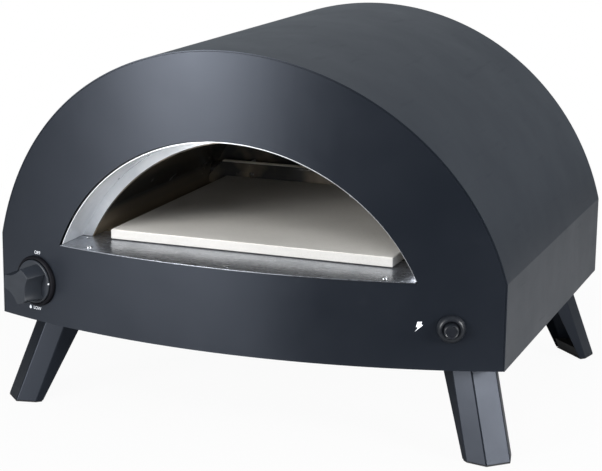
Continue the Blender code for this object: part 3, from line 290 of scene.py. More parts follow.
    @staticmethod
    def lathe(name: str, rings: Sequence[Pair], steps: int = 64, capped: bool = True) -> Object:
        """A round piece about Z, drawn out ring by ring from a circle.

        Args:
            name: The name of the piece.
            rings: (radius, height) of each ring in turn.
            steps: The corners of a ring.
            capped: Whether the ends are closed by faces. Otherwise the last ring meets the first.

        Returns:
            The new object.
        """
        radius, height = rings[0]
        fill = "NGON" if capped else "NOTHING"
        bpy.ops.mesh.primitive_circle_add(
            vertices=steps, radius=radius, fill_type=fill, location=(0, 0, height)
        )
        obj = Bench.started(name)
        Bench.edit(obj)
        path = list(rings) if capped else [*rings, rings[0]]
        for (inner, low), (outer, high) in pairwise(path):
            Bench.extrude(0, 0, high - low)
            scale = outer / inner
            bpy.ops.transform.resize(value=(scale, scale, 1), center_override=(0, 0, high))
        Bench.close()
        Bench.tidy(obj)
        return obj

    @staticmethod
    def block(name: str, low: Sequence[float], high: Sequence[float]) -> Object:
        """A cube primitive brought to its size and place.

        Args:
            name: The name of the piece or tool.
            low: Its lowest corner.
            high: Its highest corner.

        Returns:
            The new object.
        """
        size = [b - a for a, b in zip(low, high)]
        middle = [(a + b) / 2 for a, b in zip(low, high)]
        bpy.ops.mesh.primitive_cube_add(size=1, location=middle, scale=size)
        return Bench.started(name)

    @staticmethod
    def rod(
        name: str, radius: float, start: Sequence[float], end: Sequence[float], steps: int = 32
    ) -> Object:
        """A cylinder primitive between two points.

        Args:
            name: The name of the piece or tool.
            radius: Its radius.
            start: The middle of one end.
            end: The middle of the other end.
            steps: The corners of its outline.

        Returns:
            The new object.
        """
        way = Vector(end) - Vector(start)
        turn = way.to_track_quat("Z", "Y").to_euler()
        middle = (Vector(start) + Vector(end)) / 2
        bpy.ops.mesh.primitive_cylinder_add(
            vertices=steps, radius=radius, depth=way.length, location=middle, rotation=turn
        )
        return Bench.started(name)

    @staticmethod
    def place(obj: Object, matrix: Matrix) -> Object:
        """Moves an object by a matrix and applies its place.

        Args:
            obj: The object to move.
            matrix: Where it goes.

        Returns:
            The moved object.
        """
        obj.matrix_world = matrix
        Bench.settle(obj)
        return obj

    @staticmethod
    def twin(obj: Object, name: str, matrix: Matrix) -> Object:
        """A copy of an object with its own mesh, at a new place.

        Args:
            obj: The object to copy.
            name: The name of the copy.
            matrix: Where the copy goes.

        Returns:
            The copy.
        """
        copy = obj.copy()
        copy.data = obj.data.copy()
        copy.name = copy.data.name = name
        bpy.context.scene.collection.objects.link(copy)
        return Bench.place(copy, matrix)

    @staticmethod
    def drop(*objects: Object) -> None:
        """Removes objects that were only patterns for others."""
        for obj in objects:
            bpy.data.objects.remove(obj)


class Nodes:
    """The node tree of one material, which ends in a Principled shader."""

    def __init__(self, name: str, **sockets: object) -> None:
        """Makes the material.

        Args:
            name: The material's name.
            **sockets: Constant values, by socket name with underscores for spaces.
        """
        self.material: Material = bpy.data.materials.new(name)
        self.material.use_nodes = True
        self.tree = self.material.node_tree
        self.shader = self.tree.nodes["Principled BSDF"]
        coordinates = self.tree.nodes.new("ShaderNodeTexCoord")
        self.place: NodeSocket = coordinates.outputs["Object"]
        for socket, value in sockets.items():
            self.shader.inputs[socket.replace("_", " ")].default_value = value

    def add(self, kind: str, **links: object) -> bpy.types.Node:
        """Adds a node.

        Args:
            kind: The node's type, without its ShaderNode prefix.
            **links: A value or socket for each named input.

        Returns:
            The node.
        """
        node = self.tree.nodes.new("ShaderNode" + kind)
        for name, value in links.items():
            socket = node.inputs[name.replace("_", " ")]
            if isinstance(value, NodeSocket):
                self.tree.links.new(value, socket)
            else:
                socket.default_value = value
        return node

    def stretched(self, scale: Sequence[float]) -> NodeSocket:
        """The place on the piece, scaled along each axis.

        Args:
            scale: The three factors.

        Returns:
            The scaled coordinates.
        """
        node = self.add("Mapping", Vector=self.place)
        node.inputs["Scale"].default_value = scale
        return node.outputs["Vector"]

    def noise(self, scale: float, detail: float = 3.0, place: NodeSocket | None = None) -> NodeSocket:
        """A cloudy value about 0.5, with scale features in a metre."""
        node = self.add("TexNoise", Vector=place or self.place, Scale=scale, Detail=detail, Roughness=0.55)
        return node.outputs["Fac"]

    def cells(self, scale: float) -> NodeSocket:
        """The distance to the nearest of scattered points, with scale of them in a metre."""
        return self.add("TexVoronoi", Vector=self.place, Scale=scale).outputs["Distance"]

    def span(self, value: NodeSocket, start: float, end: float, low: float, high: float) -> NodeSocket:
        """Brings a value from one range to another, kept inside it.

        Args:
            value: The value.
            start: The low end of its range.
            end: The high end of its range.
            low: What start becomes.
            high: What end becomes.

        Returns:
            The new value.
        """
        node = self.add("MapRange", Value=value)
        for name, number in zip(("From Min", "From Max", "To Min", "To Max"), (start, end, low, high)):
            node.inputs[name].default_value = number
        return node.outputs["Result"]

    def blend(
        self, factor: NodeSocket, first: Colour | NodeSocket, second: Colour, mixing: Mixing = Mixing.MIX
    ) -> NodeSocket:
        """Two colours put together.

        Args:
            factor: 0 for the first alone and 1 for the full effect of the second.
            first: The first colour, or a socket that gives it.
            second: The second colour.
            mixing: How the second works on the first.

        Returns:
            The colour.
        """
        node = self.tree.nodes.new("ShaderNodeMix")
        node.data_type = "RGBA"
        node.blend_type = mixing.value
        self.tree.links.new(factor, node.inputs["Factor"])
        if isinstance(first, NodeSocket):
            self.tree.links.new(first, node.inputs["A"])
        else:
            node.inputs["A"].default_value = (*first, 1)
        node.inputs["B"].default_value = (*second, 1)
        return node.outputs["Result"]

    def reckon(self, mixing: Mixing, first: NodeSocket, second: NodeSocket) -> NodeSocket:
        """The sum or the product of two values.

        Args:
            mixing: ADD or MULTIPLY.
            first: The first value.
            second: The second value.

        Returns:
            The result.
        """
        node = self.add("Math", Value=first)
        node.operation = mixing.value
        self.tree.links.new(second, node.inputs[1])
        return node.outputs["Value"]

    def height(self) -> NodeSocket:
        """The z of a place on the piece."""
        return self.add("SeparateXYZ", Vector=self.place).outputs["Z"]

    def colour(self, socket: NodeSocket) -> None:
        """Links the base colour."""
        self.tree.links.new(socket, self.shader.inputs["Base Color"])

    def roughness(self, socket: NodeSocket) -> None:
        """Links the roughness."""
        self.tree.links.new(socket, self.shader.inputs["Roughness"])

    def relief(self, *layers: tuple[NodeSocket, float]) -> None:
        """Gives the surface a fine relief.

        Args:
            *layers: (value, depth in metres at a value of 1) of each layer.
        """
        before = None
        for value, depth in layers:
            node = self.add("Bump", Height=value, Strength=1.0, Distance=depth)
            if before:
                self.tree.links.new(before, node.inputs["Normal"])
            before = node.outputs["Normal"]
        self.tree.links.new(before, self.shader.inputs["Normal"])


@dataclass(frozen=True)
class Finish:
    """A surface finish, with the record's slot that it dresses.

    Attributes:
        name: The material's name.
        slot: The record's material slot. It is not used.
        base: Its main colour.
        shade: The colour that it drifts to.
        rough: Its roughness.
    """

    name: str
    slot: str
    base: Colour
    shade: Colour
    rough: float

    def material(self) -> Material:
        """The material, made once."""
        found = bpy.data.materials.get(self.name)
        return found if found else self.build()

    def build(self) -> Material:
        """Builds the material's nodes."""
        raise NotImplementedError

    def dress(self, obj: Object) -> None:
        """Gives an object this finish alone.

        Args:
            obj: The piece or CAD node.
        """
        if not obj.material_slots:
            obj.data.materials.append(None)
        for place in obj.material_slots:
            place.material = self.material()


@dataclass(frozen=True)
class PowderCoat(Finish):
    """Matt powder coat: a fine orange peel, a slow drift in gloss and a few faint handling marks.

    Attributes:
        specular: How much it mirrors.
        tint: The colour of what it mirrors.
        peel: The orange peel's bumps in a metre.
        peel_depth: Their depth.
        grit: The finer grains in a metre.
        grit_depth: Their depth.
    """

    specular: float = 0.5
    tint: Colour = (0.78, 0.85, 1.0)
    peel: float = 1400.0
    peel_depth: float = 0.00002
    grit: float = 5200.0
    grit_depth: float = 0.000004

    def build(self) -> Material:
        """Builds the material's nodes.

        Returns:
            The material.
        """
        nodes = Nodes(self.name, Specular_IOR_Level=self.specular, Specular_Tint=(*self.tint, 1))
        nodes.colour(nodes.blend(nodes.noise(9, 4), self.base, self.shade))
        drift = nodes.span(nodes.noise(14, 6), 0.3, 0.7, self.rough - 0.03, self.rough + 0.04)
        marks = nodes.span(nodes.noise(60, 8, nodes.stretched((1, 0.2, 2.5))), 0.62, 0.75, 0, 0.05)
        nodes.roughness(nodes.reckon(Mixing.ADD, drift, marks))
        bumps, grains = nodes.noise(self.peel, 2), nodes.noise(self.grit, 1)
        nodes.relief((bumps, self.peel_depth), (grains, self.grit_depth))
        return nodes.material


@dataclass(frozen=True)
class Steel(Finish):
    """Stainless or zinc-plated sheet: fine grain along one way, faint waves and smudges.

    Attributes:
        grain: How the grain is stretched along each axis.
        depth: The depth of the grain.
        spangle: How strongly zinc crystals show.
        metallic: 1 for a clean metal, less where fine scratches scatter the light.
        streak: How far the roughness varies along the grain.
        waves_share: The depth of its waves for a grain's depth of 1.
        crystals: The zinc crystals in a metre.
    """

    grain: tuple[float, float, float] = (30.0, 900.0, 900.0)
    depth: float = 0.000004
    spangle: float = 0.0
    metallic: float = 1.0
    streak: float = 0.06
    waves_share: float = 12.0
    crystals: float = 130.0

    def build(self) -> Material:
        """Builds the material's nodes.

        Returns:
            The material.
        """
        nodes = Nodes(self.name, Metallic=self.metallic)
        lines = nodes.noise(1.0, 4, nodes.stretched(self.grain))
        smudges = nodes.noise(38, 5)
        tone = nodes.span(smudges, 0.35, 0.7, 0, 1)
        if self.spangle:
            crystals = nodes.add("TexVoronoi", Vector=nodes.place, Scale=self.crystals).outputs["Color"]
            tone = nodes.span(crystals, 0.0, 1.0, 0, self.spangle)
        nodes.colour(nodes.blend(tone, self.base, self.shade))
        streaks = nodes.span(lines, 0.3, 0.7, self.rough - self.streak, self.rough + self.streak)
        marks = nodes.span(smudges, 0.45, 0.75, 0, 0.08)
        nodes.roughness(nodes.reckon(Mixing.ADD, streaks, marks))
        nodes.relief((lines, self.depth), (nodes.noise(21, 2), self.depth * self.waves_share))
        return nodes.material


@dataclass(frozen=True)
class Enamel(Finish):
    """Black heat-proof enamel: glossy, a little wavy, with pinholes, brownish bands that are partly heat
    stains and partly painted reflection, and a pale band painted above a set height as a highlight.

    Attributes:
        highlight_from: The height from which the glaze is painted pale as a highlight.
        highlight_colour: The colour of that painted highlight.
        fade: The height over which the painted highlight fades in.
        pit_depth: The depth of its pinholes.
        wave_depth: The depth of its waves.
    """

    highlight_from: float = 1.0
    highlight_colour: Colour = (0.86, 0.80, 0.70)
    fade: float = 0.0003
    pit_depth: float = 0.000008
    wave_depth: float = 0.00005

    def build(self) -> Material:
        """Builds the material's nodes.

        Returns:
            The material.
        """
        nodes = Nodes(self.name, Specular_IOR_Level=0.5)
        # Brownish bands along the depth: partly heat stains, partly painted reflection along the liner's
        # creases.
        stains_and_sheen = nodes.noise(1.0, 2, nodes.stretched((26, 1.5, 26)))
        glaze = nodes.blend(nodes.span(stains_and_sheen, 0.42, 0.68, 0, 1), self.base, self.shade)
        # Painted highlight: the glaze turns pale above a height.
        pale = nodes.span(nodes.height(), self.highlight_from - self.fade, self.highlight_from, 0, 1)
        nodes.colour(nodes.blend(pale, glaze, self.highlight_colour))
        nodes.roughness(nodes.span(nodes.noise(30, 4), 0.3, 0.75, self.rough - 0.04, self.rough + 0.05))
        pits = nodes.span(nodes.cells(420), 0.0, 0.12, 0, 1)
        nodes.relief((pits, self.pit_depth), (nodes.noise(20, 2), self.wave_depth))
        return nodes.material


@dataclass(frozen=True)
class Cordierite(Finish):
    """Fired stone: cream, matt and sandy, with open pores and darker grains, its sides painted darker as
    shade.

    Attributes:
        top: The height of its top face.
        side: What its sides' colour is multiplied by, as painted shade.
        shade_from: How far under the top that painted shade begins.
        shade_full: How far under the top it is complete.
        grain_depth: The depth between its grains.
        pore_depth: The depth of its pores.
    """

    top: float = 0.0
    side: Colour = (0.78, 0.79, 0.81)
    shade_from: float = 0.0002
    shade_full: float = 0.0012
    grain_depth: float = 0.00022
    pore_depth: float = 0.00012

    def build(self) -> Material:
        """Builds the material's nodes.

        Returns:
            The material.
        """
        nodes = Nodes(self.name, Specular_IOR_Level=0.2)
        grains = nodes.span(nodes.noise(1500, 3), 0.52, 0.74, 0, 1)
        drift = nodes.span(nodes.noise(16, 4), 0.3, 0.8, 0, 0.35)
        body = nodes.blend(nodes.reckon(Mixing.ADD, grains, drift), self.base, self.shade)
        # Painted shade: the sides below the top face are darkened.
        shaded_sides = nodes.span(nodes.height(), self.top - self.shade_full, self.top - self.shade_from, 1, 0)
        nodes.colour(nodes.blend(shaded_sides, body, self.side, Mixing.MULTIPLY))
        nodes.roughness(nodes.span(nodes.noise(300, 3), 0.3, 0.7, self.rough - 0.06, self.rough))
        pores = nodes.span(nodes.cells(640), 0.0, 0.22, 0, 1)
        nodes.relief((nodes.noise(900, 4), self.grain_depth), (pores, self.pore_depth))
        return nodes.material


@dataclass(frozen=True)
class Moulded(Finish):
    """Moulded or turned stuff without a grain: plastic, rubber, ceramic and brass.

    Attributes:
        metallic: 1 for a metal.
        texture: Features of the surface in a metre.
        depth: The depth of its texture.
        specular: How much it mirrors.
    """

    metallic: float = 0.0
    texture: float = 2200.0
    depth: float = 0.00001
    specular: float = 0.5

    def build(self) -> Material:
        """Builds the material's nodes.

        Returns:
            The material.
        """
        nodes = Nodes(self.name, Metallic=self.metallic, Specular_IOR_Level=self.specular)
        nodes.colour(nodes.blend(nodes.span(nodes.noise(70, 4), 0.35, 0.7, 0, 1), self.base, self.shade))
        nodes.roughness(nodes.span(nodes.noise(120, 4), 0.3, 0.7, self.rough - 0.04, self.rough + 0.07))
        nodes.relief((nodes.noise(self.texture, 3), self.depth))
        return nodes.material


@dataclass(frozen=True)
class Wool(Finish):
    """Needled ceramic wool: matted fibres with soft lumps.

    Attributes:
        fibre_depth: The depth between its fibres.
        lump_depth: The depth between its lumps.
    """

    fibre_depth: float = 0.0012
    lump_depth: float = 0.002

    def build(self) -> Material:
        """Builds the material's nodes.

        Returns:
            The material.
        """
        nodes = Nodes(self.name, Specular_IOR_Level=0.1)
        fibres = nodes.noise(260, 8, nodes.stretched((1, 3, 1)))
        nodes.colour(nodes.blend(nodes.span(fibres, 0.3, 0.75, 0, 1), self.base, self.shade))
        nodes.roughness(nodes.span(fibres, 0.3, 0.7, self.rough - 0.05, self.rough))
        nodes.relief((fibres, self.fibre_depth), (nodes.noise(60, 3), self.lump_depth))
        return nodes.material


COAT = PowderCoat("anthracite_coat", "black_coat", (0.0042, 0.0056, 0.0084), (0.0054, 0.0070, 0.0102), 0.36)
LEG_COAT = replace(COAT, name="leg_coat", rough=0.38, specular=0.25)
# The brown that the enamel drifts to is partly heat stain and partly painted reflection.
ENAMEL = Enamel("black_enamel_glaze", "black_enamel", (0.050, 0.050, 0.048), (0.240, 0.195, 0.140), 0.24)
# How far down from its top the guard's glaze is painted pale, a painted highlight along its top edge.
HIGHLIGHT_EDGE = 0.0014
GUARD_ENAMEL = replace(
    ENAMEL, name="guard_enamel_painted_highlight", highlight_from=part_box("burner_guard")[1][2] - HIGHLIGHT_EDGE
)
SATIN = Steel(
    "satin_stainless", "stainless", (0.86, 0.88, 0.90), (0.76, 0.78, 0.81), 0.30,
    grain=(30, 700, 700), depth=0.0000002, metallic=0.66, streak=0.02,
)
BRUSHED = Steel(
    "brushed_stainless", "stainless", (0.39, 0.41, 0.45), (0.32, 0.34, 0.38), 0.25,
    grain=(25, 1100, 1100), depth=0.000002, metallic=0.9,
)
# Dark steel: the rear screws' finish, and painted shade on the strip's left rivets.
DARK_STEEL_AND_SHADE = Steel(
    "dark_steel_and_painted_shade", "stainless", (0.10, 0.10, 0.11), (0.07, 0.07, 0.08), 0.3, grain=(300, 300, 300)
)
SCREW_STEEL = Steel(
    "screw_stainless", "stainless", (0.86, 0.86, 0.87), (0.74, 0.74, 0.75), 0.14, grain=(300, 300, 300)
)
ZINC = Steel(
    "zinc_plate", "galvanised", (0.62, 0.64, 0.66), (0.46, 0.48, 0.50), 0.36,
    grain=(200, 200, 60), depth=0.00001, spangle=0.8,
)
STONE = Cordierite(
    "cream_cordierite", "stone", (0.66, 0.64, 0.60), (0.49, 0.47, 0.435), 0.95,
    top=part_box("pizza_stone")[1][2],
)
BRASS = Moulded(
    "turned_brass", "brass", (0.74, 0.56, 0.26), (0.60, 0.42, 0.18), 0.28,
    metallic=1.0, texture=900.0, depth=0.000006,
)
KNOB_PLASTIC = Moulded(
    "knob_plastic", "black_plastic", (0.014, 0.017, 0.022), (0.018, 0.021, 0.027), 0.34, specular=0.4
)
# Near-black and hardly mirroring: the ring's own black plastic, and painted shade of the knob's shadow round
# it.
RING_PLASTIC_AND_SHADE = Moulded(
    "ring_plastic_and_painted_shade", "black_plastic", (0.004, 0.004, 0.005), (0.006, 0.006, 0.008), 0.5, specular=0.08
)
BUTTON_PLASTIC = Moulded(
    "button_plastic", "black_plastic", (0.007, 0.008, 0.011), (0.010, 0.012, 0.015), 0.34, specular=0.3
)
CERAMIC = Moulded("glazed_ceramic", "ceramic", (0.88, 0.87, 0.84), (0.80, 0.78, 0.73), 0.24, texture=300.0)
WOOL = Wool("ceramic_wool", "blanket", (0.86, 0.86, 0.84), (0.66, 0.65, 0.62), 0.98)
RUBBER = Moulded(
    "foot_rubber", "rubber", (0.012, 0.012, 0.013), (0.022, 0.022, 0.022), 0.75, texture=700.0, depth=0.00004
)
PRINT = Moulded(
    "white_print", "black_coat", (0.72, 0.74, 0.77), (0.62, 0.64, 0.68), 0.55, texture=1600.0, depth=0.000004
)

CARRIED = {
    COAT: ("base_pan",),
    ENAMEL: ("chamber_rear_wall", "hearth_tray"),
    ZINC: (
        "burner_bracket_left", "burner_bracket_right", "burner_tube", "burner_venturi", "burner_pipe",
        "inlet_pipe", "hearth_support_left", "hearth_support_right", "valve_bracket", "valve_stem",
        "valve_spring", "spring_retainer", "igniter_spring", "igniter_nut",
    ),
    BRASS: ("gas_jet", "gas_valve"),
    SCREW_STEEL: ("spark_electrode",),
    CERAMIC: ("electrode_insulator",),
    WOOL: ("insulation_blanket",),
    RUBBER: ("ignition_lead",),
}


def hand_over(obj: Object, finish: Finish, body: str, *replaced: str) -> Object:
    """Dresses a finished piece and hands it to the frame.

    Args:
        obj: The piece.
        finish: Its finish.
        body: The CAD body that it rides on.
        *replaced: The CAD nodes that it stands for.

    Returns:
        The piece.
    """
    finish.dress(obj)
    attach(obj, body)
    if replaced:
        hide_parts(*replaced)
    stood_for = ", ".join(replaced) or "itself"
    LOG.info("%s: %d faces, on %s, for %s", obj.name, len(obj.data.polygons), body, stood_for)
    return obj


def refined(node: str, name: str, width: float, segments: int = 2) -> Object:
    """A copy of a CAD node with its seams welded and its edges rounded.

    Args:
        node: The CAD node.
        name: The name of the copy.
        width: The width of the rounding.
        segments: The faces across it.

    Returns:
        The copy.
    """
    copy = bpy.data.objects.new(name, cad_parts[node].data.copy())
    copy.data.name = name
    bpy.context.scene.collection.objects.link(copy)
    Bench.take(copy)
    bpy.ops.mesh.customdata_custom_splitnormals_clear()
    Bench.tidy(copy)
    return Bench.ease(copy, width, segments)


@dataclass(frozen=True)
class Bow:
    """The bowed front, an upright drum's face.

    Attributes:
        radius: The drum's radius.
        centre: How far back its axis stands.
        steps: The facets of the whole drum.
    """

    radius: float = 0.7299703
    centre: float = 0.4888703
    steps: int = 720

    def depth(self, x: float, inset: float = 0.0) -> float:
        """The y of the bow at x, moved back by inset."""
        return self.centre - math.sqrt((self.radius - inset) ** 2 - x**2)

    def frame(self, x: float, z: float, inset: float = 0.0) -> Matrix:
        """A place on the bow with local Z pointing out of it and local Y up."""
        turn = Matrix.Rotation(math.asin(x / self.radius), 4, "Z") @ Matrix.Rotation(QUARTER, 4, "X")
        return Matrix.Translation((x, self.depth(x, inset), z)) @ turn

    def drum(self, inset: float, low: float, high: float) -> Object:
        """A solid drum, moved in by inset, between two heights."""
        start, end = (0, self.centre, low), (0, self.centre, high)
        return Bench.rod("bow_drum", self.radius - inset, start, end, self.steps)


@dataclass(frozen=True)
class Arch:
    """An arc over two sides, seen from the front.

    Attributes:
        half: Half of its width.
        spring: Where the arc starts.
        crown: The top of the arc.
        upright: Whether its sides stand upright below the arc.
        steps: The facets of the whole circle.
    """

    half: float
    spring: float
    crown: float
    upright: bool
    steps: int = 288

    @property
    def radius(self) -> float:
        """The arc's radius."""
        rise = self.crown - self.spring
        return (self.half**2 + rise**2) / (2 * rise)

    @property
    def centre(self) -> float:
        """The height of the arc's centre."""
        return self.crown - self.radius

    def at(self, degrees: float, y: float, inset: float = 0.0) -> Vector:
        """A point of the arc.

        Args:
            degrees: How far it is turned from the arc's top towards +X.
            y: Its depth.
            inset: How far the arc is moved in.

        Returns:
            The point.
        """
        turn = math.radians(degrees)
        reach = self.radius - inset
        return Vector((reach * math.sin(turn), y, self.centre + reach * math.cos(turn)))

    def half_at(self, z: float, inset: float = 0.0) -> float:
        """The half width of the arc at a height."""
        return math.sqrt((self.radius - inset) ** 2 - (z - self.centre) ** 2)

    def prism(self, name: str, foot: float, front: float, back: float, inset: float = 0.0) -> Object:
        """A solid of the arch's outline, moved in by inset, between two depths.

        Args:
            name: The name of the piece or tool.
            foot: The height of its flat bottom.
            front: The y of its front.
            back: The y of its back.
            inset: How far the outline is moved in.

        Returns:
            The new object.
        """
        radius = self.radius - inset
        bpy.ops.mesh.primitive_circle_add(
            vertices=self.steps,
            radius=radius,
            fill_type="NGON",
            location=(0, front, self.centre),
            rotation=(QUARTER, 0, 0),
        )
        obj = Bench.started(name)
        side = self.half - inset
        spring = self.centre + math.sqrt(radius**2 - side**2) if self.upright else foot
        Bench.edit(obj)
        Bench.bisect((0, 0, spring), (0, 0, -1), fill=False)
        if self.upright:
            Bench.pick(obj, Element.EDGES, lambda edge: all(abs(v.co.z - spring) < NEAR for v in edge.verts))
            Bench.extrude(0, 0, foot - spring)
            bpy.ops.mesh.select_all(action="SELECT")
            bpy.ops.mesh.dissolve_limited(angle_limit=FLAT_ANGLE)
        bpy.ops.mesh.select_all(action="SELECT")
        Bench.extrude(0, back - front, 0)
        Bench.close()
        Bench.tidy(obj)
        return obj


BOW = Bow()
BODY_ARCH = Arch(half=0.265, spring=0.1785, crown=0.3863, upright=True, steps=360)
MOUTH_ARCH = Arch(half=0.185, spring=0.178, crown=0.300, upright=False)
LINER_ARCH = Arch(half=0.1735, spring=0.202, crown=0.308, upright=True)


@dataclass
class Casing:
    """The folded shell, the bowed front panel and the rear panel.

    Attributes:
        foot: The height of the body's bottom edge.
        above: A height over all of the body.
        rear: The y of the shell's rear edge.
        ahead: A y in front of all of the body.
        skin_back: A y behind the front panel's flange.
        sheet: The thickness of the sheet.
        seat: How far the panels sit inside the shell.
        flange: How far the front panel's edges turn back.
        edge: The rounding of the sheet's edges.
        mouth_gap: How far the panel's mouth stands off the strip in it.
        ledge_half: Half of the width of the ledge under the sill.
        ledge_reach: How far that ledge reaches back from the bow.
        knob_hole: The radius of the knob's hole.
        igniter_hole: The radius of the igniter's hole.
        rear_edge: The rounding of the rear panel's edges.
        screw: The radius and height of a rear screw's head.
        screw_seat: How far the rear panel's face lies inside the shell's rear edge.
        screw_angles: Where the screws stand round the arch, in degrees from its top.
        screw_inset: How far those screws stand in from the panel's edge.
        side_screw: How far from the middle the screws at the sides stand.
        side_heights: The heights of the screws at the sides.
    """

    foot: float = 0.095
    above: float = 0.4
    rear: float = 0.2207
    ahead: float = -0.26
    skin_back: float = -0.15
    sheet: float = 0.0012
    seat: float = 0.0015
    flange: float = 0.012
    edge: float = 0.0005
    mouth_gap: float = 0.0009
    ledge_half: float = 0.162
    ledge_reach: float = 0.016
    knob_hole: float = 0.0088
    igniter_hole: float = 0.0093
    rear_edge: float = 0.00025
    screw: Pair = (0.0032, 0.0016)
    screw_seat: float = 0.004
    screw_angles: tuple[float, ...] = (-62.0, -31.0, 0.0, 31.0, 62.0)
    screw_inset: float = 0.0075
    side_screw: float = 0.2515
    side_heights: Pair = (0.108, 0.160)

    def shell(self) -> None:
        """The one sheet of both sides and the roof, its front edge cut to the bow."""
        low, front, back = self.foot - OVERRUN, self.ahead - OVERRUN, self.rear + OVERRUN
        skin = BODY_ARCH.prism("shell_skin", self.foot, self.ahead, self.rear)
        hollow = BODY_ARCH.prism("shell_hollow", low, front, back, self.sheet)
        Bench.combine(skin, Tool.CUT, hollow)
        Bench.combine(skin, Tool.TRIM, BOW.drum(0.0, low, self.above))
        hand_over(Bench.ease(skin, self.edge), COAT, "oven_body", "outer_shell")

    def front(self) -> None:
        """The bowed panel with its flange, its ledge under the sill, its mouth and its two holes."""
        low, high, back = self.foot - OVERRUN, self.above, self.skin_back
        panel = BODY_ARCH.prism("front_skin", self.foot, self.ahead, back, self.seat)
        Bench.combine(panel, Tool.TRIM, BOW.drum(0.0, low, high))
        inner = self.seat + self.sheet
        hollow = BODY_ARCH.prism("front_hollow", low, self.ahead, back + OVERRUN, inner)
        Bench.combine(hollow, Tool.TRIM, BOW.drum(self.sheet, low - OVERRUN, high))
        Bench.combine(panel, Tool.CUT, hollow, BOW.drum(self.flange, low, high))
        half, under = self.ledge_half, SILL_SEAT - self.sheet
        ledge = Bench.block("front_ledge", (-half, self.ahead, under), (half, 0, SILL_SEAT))
        Bench.combine(ledge, Tool.TRIM, BOW.drum(self.sheet / 2, low, high))
        Bench.combine(ledge, Tool.CUT, BOW.drum(self.ledge_reach, low, high))
        mouth = MOUTH_ARCH.prism("front_mouth", SILL_SEAT, self.ahead, back, -self.mouth_gap)
        Bench.combine(panel, Tool.JOIN, ledge)
        Bench.combine(panel, Tool.CUT, mouth)
        for control, radius in ((KNOB_AT, self.knob_hole), (IGNITER_AT, self.igniter_hole)):
            place = BOW.frame(*control)
            ends = place @ Vector((0, 0, -OVERRUN)), place @ Vector((0, 0, OVERRUN))
            Bench.combine(panel, Tool.CUT, Bench.rod("front_hole", radius, *ends, 48))
        hand_over(Bench.ease(panel, self.edge), COAT, "oven_body", "front_panel")

    def back(self) -> None:
        """The rear panel with its slots, and the screws round it."""
        hand_over(refined("rear_panel", "rear_skin", self.rear_edge), COAT, "oven_body", "rear_panel")
        head = pan_screw("rear_screw", *self.screw)
        face = self.rear - self.screw_seat
        inset = self.seat + self.screw_inset
        places = [Vector((side * self.side_screw, face, z)) for side in (-1, 1) for z in self.side_heights]
        places += [BODY_ARCH.at(angle, face, inset) for angle in self.screw_angles]
        for number, point in enumerate(places):
            matrix = Matrix.Translation(point) @ Matrix.Rotation(-QUARTER, 4, "X")
            hand_over(Bench.twin(head, f"rear_screw_{number}", matrix), DARK_STEEL_AND_SHADE, "oven_body")
        Bench.drop(head)

    def build(self) -> None:
        """Builds and dresses all of the casing."""
        self.shell()
        self.front()
        self.back()


def pan_screw(name: str, radius: float, height: float, sunk: float = 0.0004) -> Object:
    """A domed screw head with a cross recess, its seat at z = 0 and its top upwards.

    Args:
        name: The name of the piece.
        radius: The head's radius.
        height: The head's height.
        sunk: How far its foot reaches below its seat.

    Returns:
        The new object.
    """
    rings = [(radius, -sunk), (radius, height * 0.35), (radius * 0.86, height * 0.74), (radius * 0.5, height)]
    head = Bench.lathe(name, rings, 32)
    arm, wide, deep = radius * 0.62, radius * 0.13, height * 0.45
    for across, along in ((arm, wide), (wide, arm)):
        low, high = (-across, -along, height - deep), (across, along, height + deep)
        Bench.combine(head, Tool.CUT, Bench.block("recess", low, high))
    return Bench.ease(head, height * 0.06, 1)


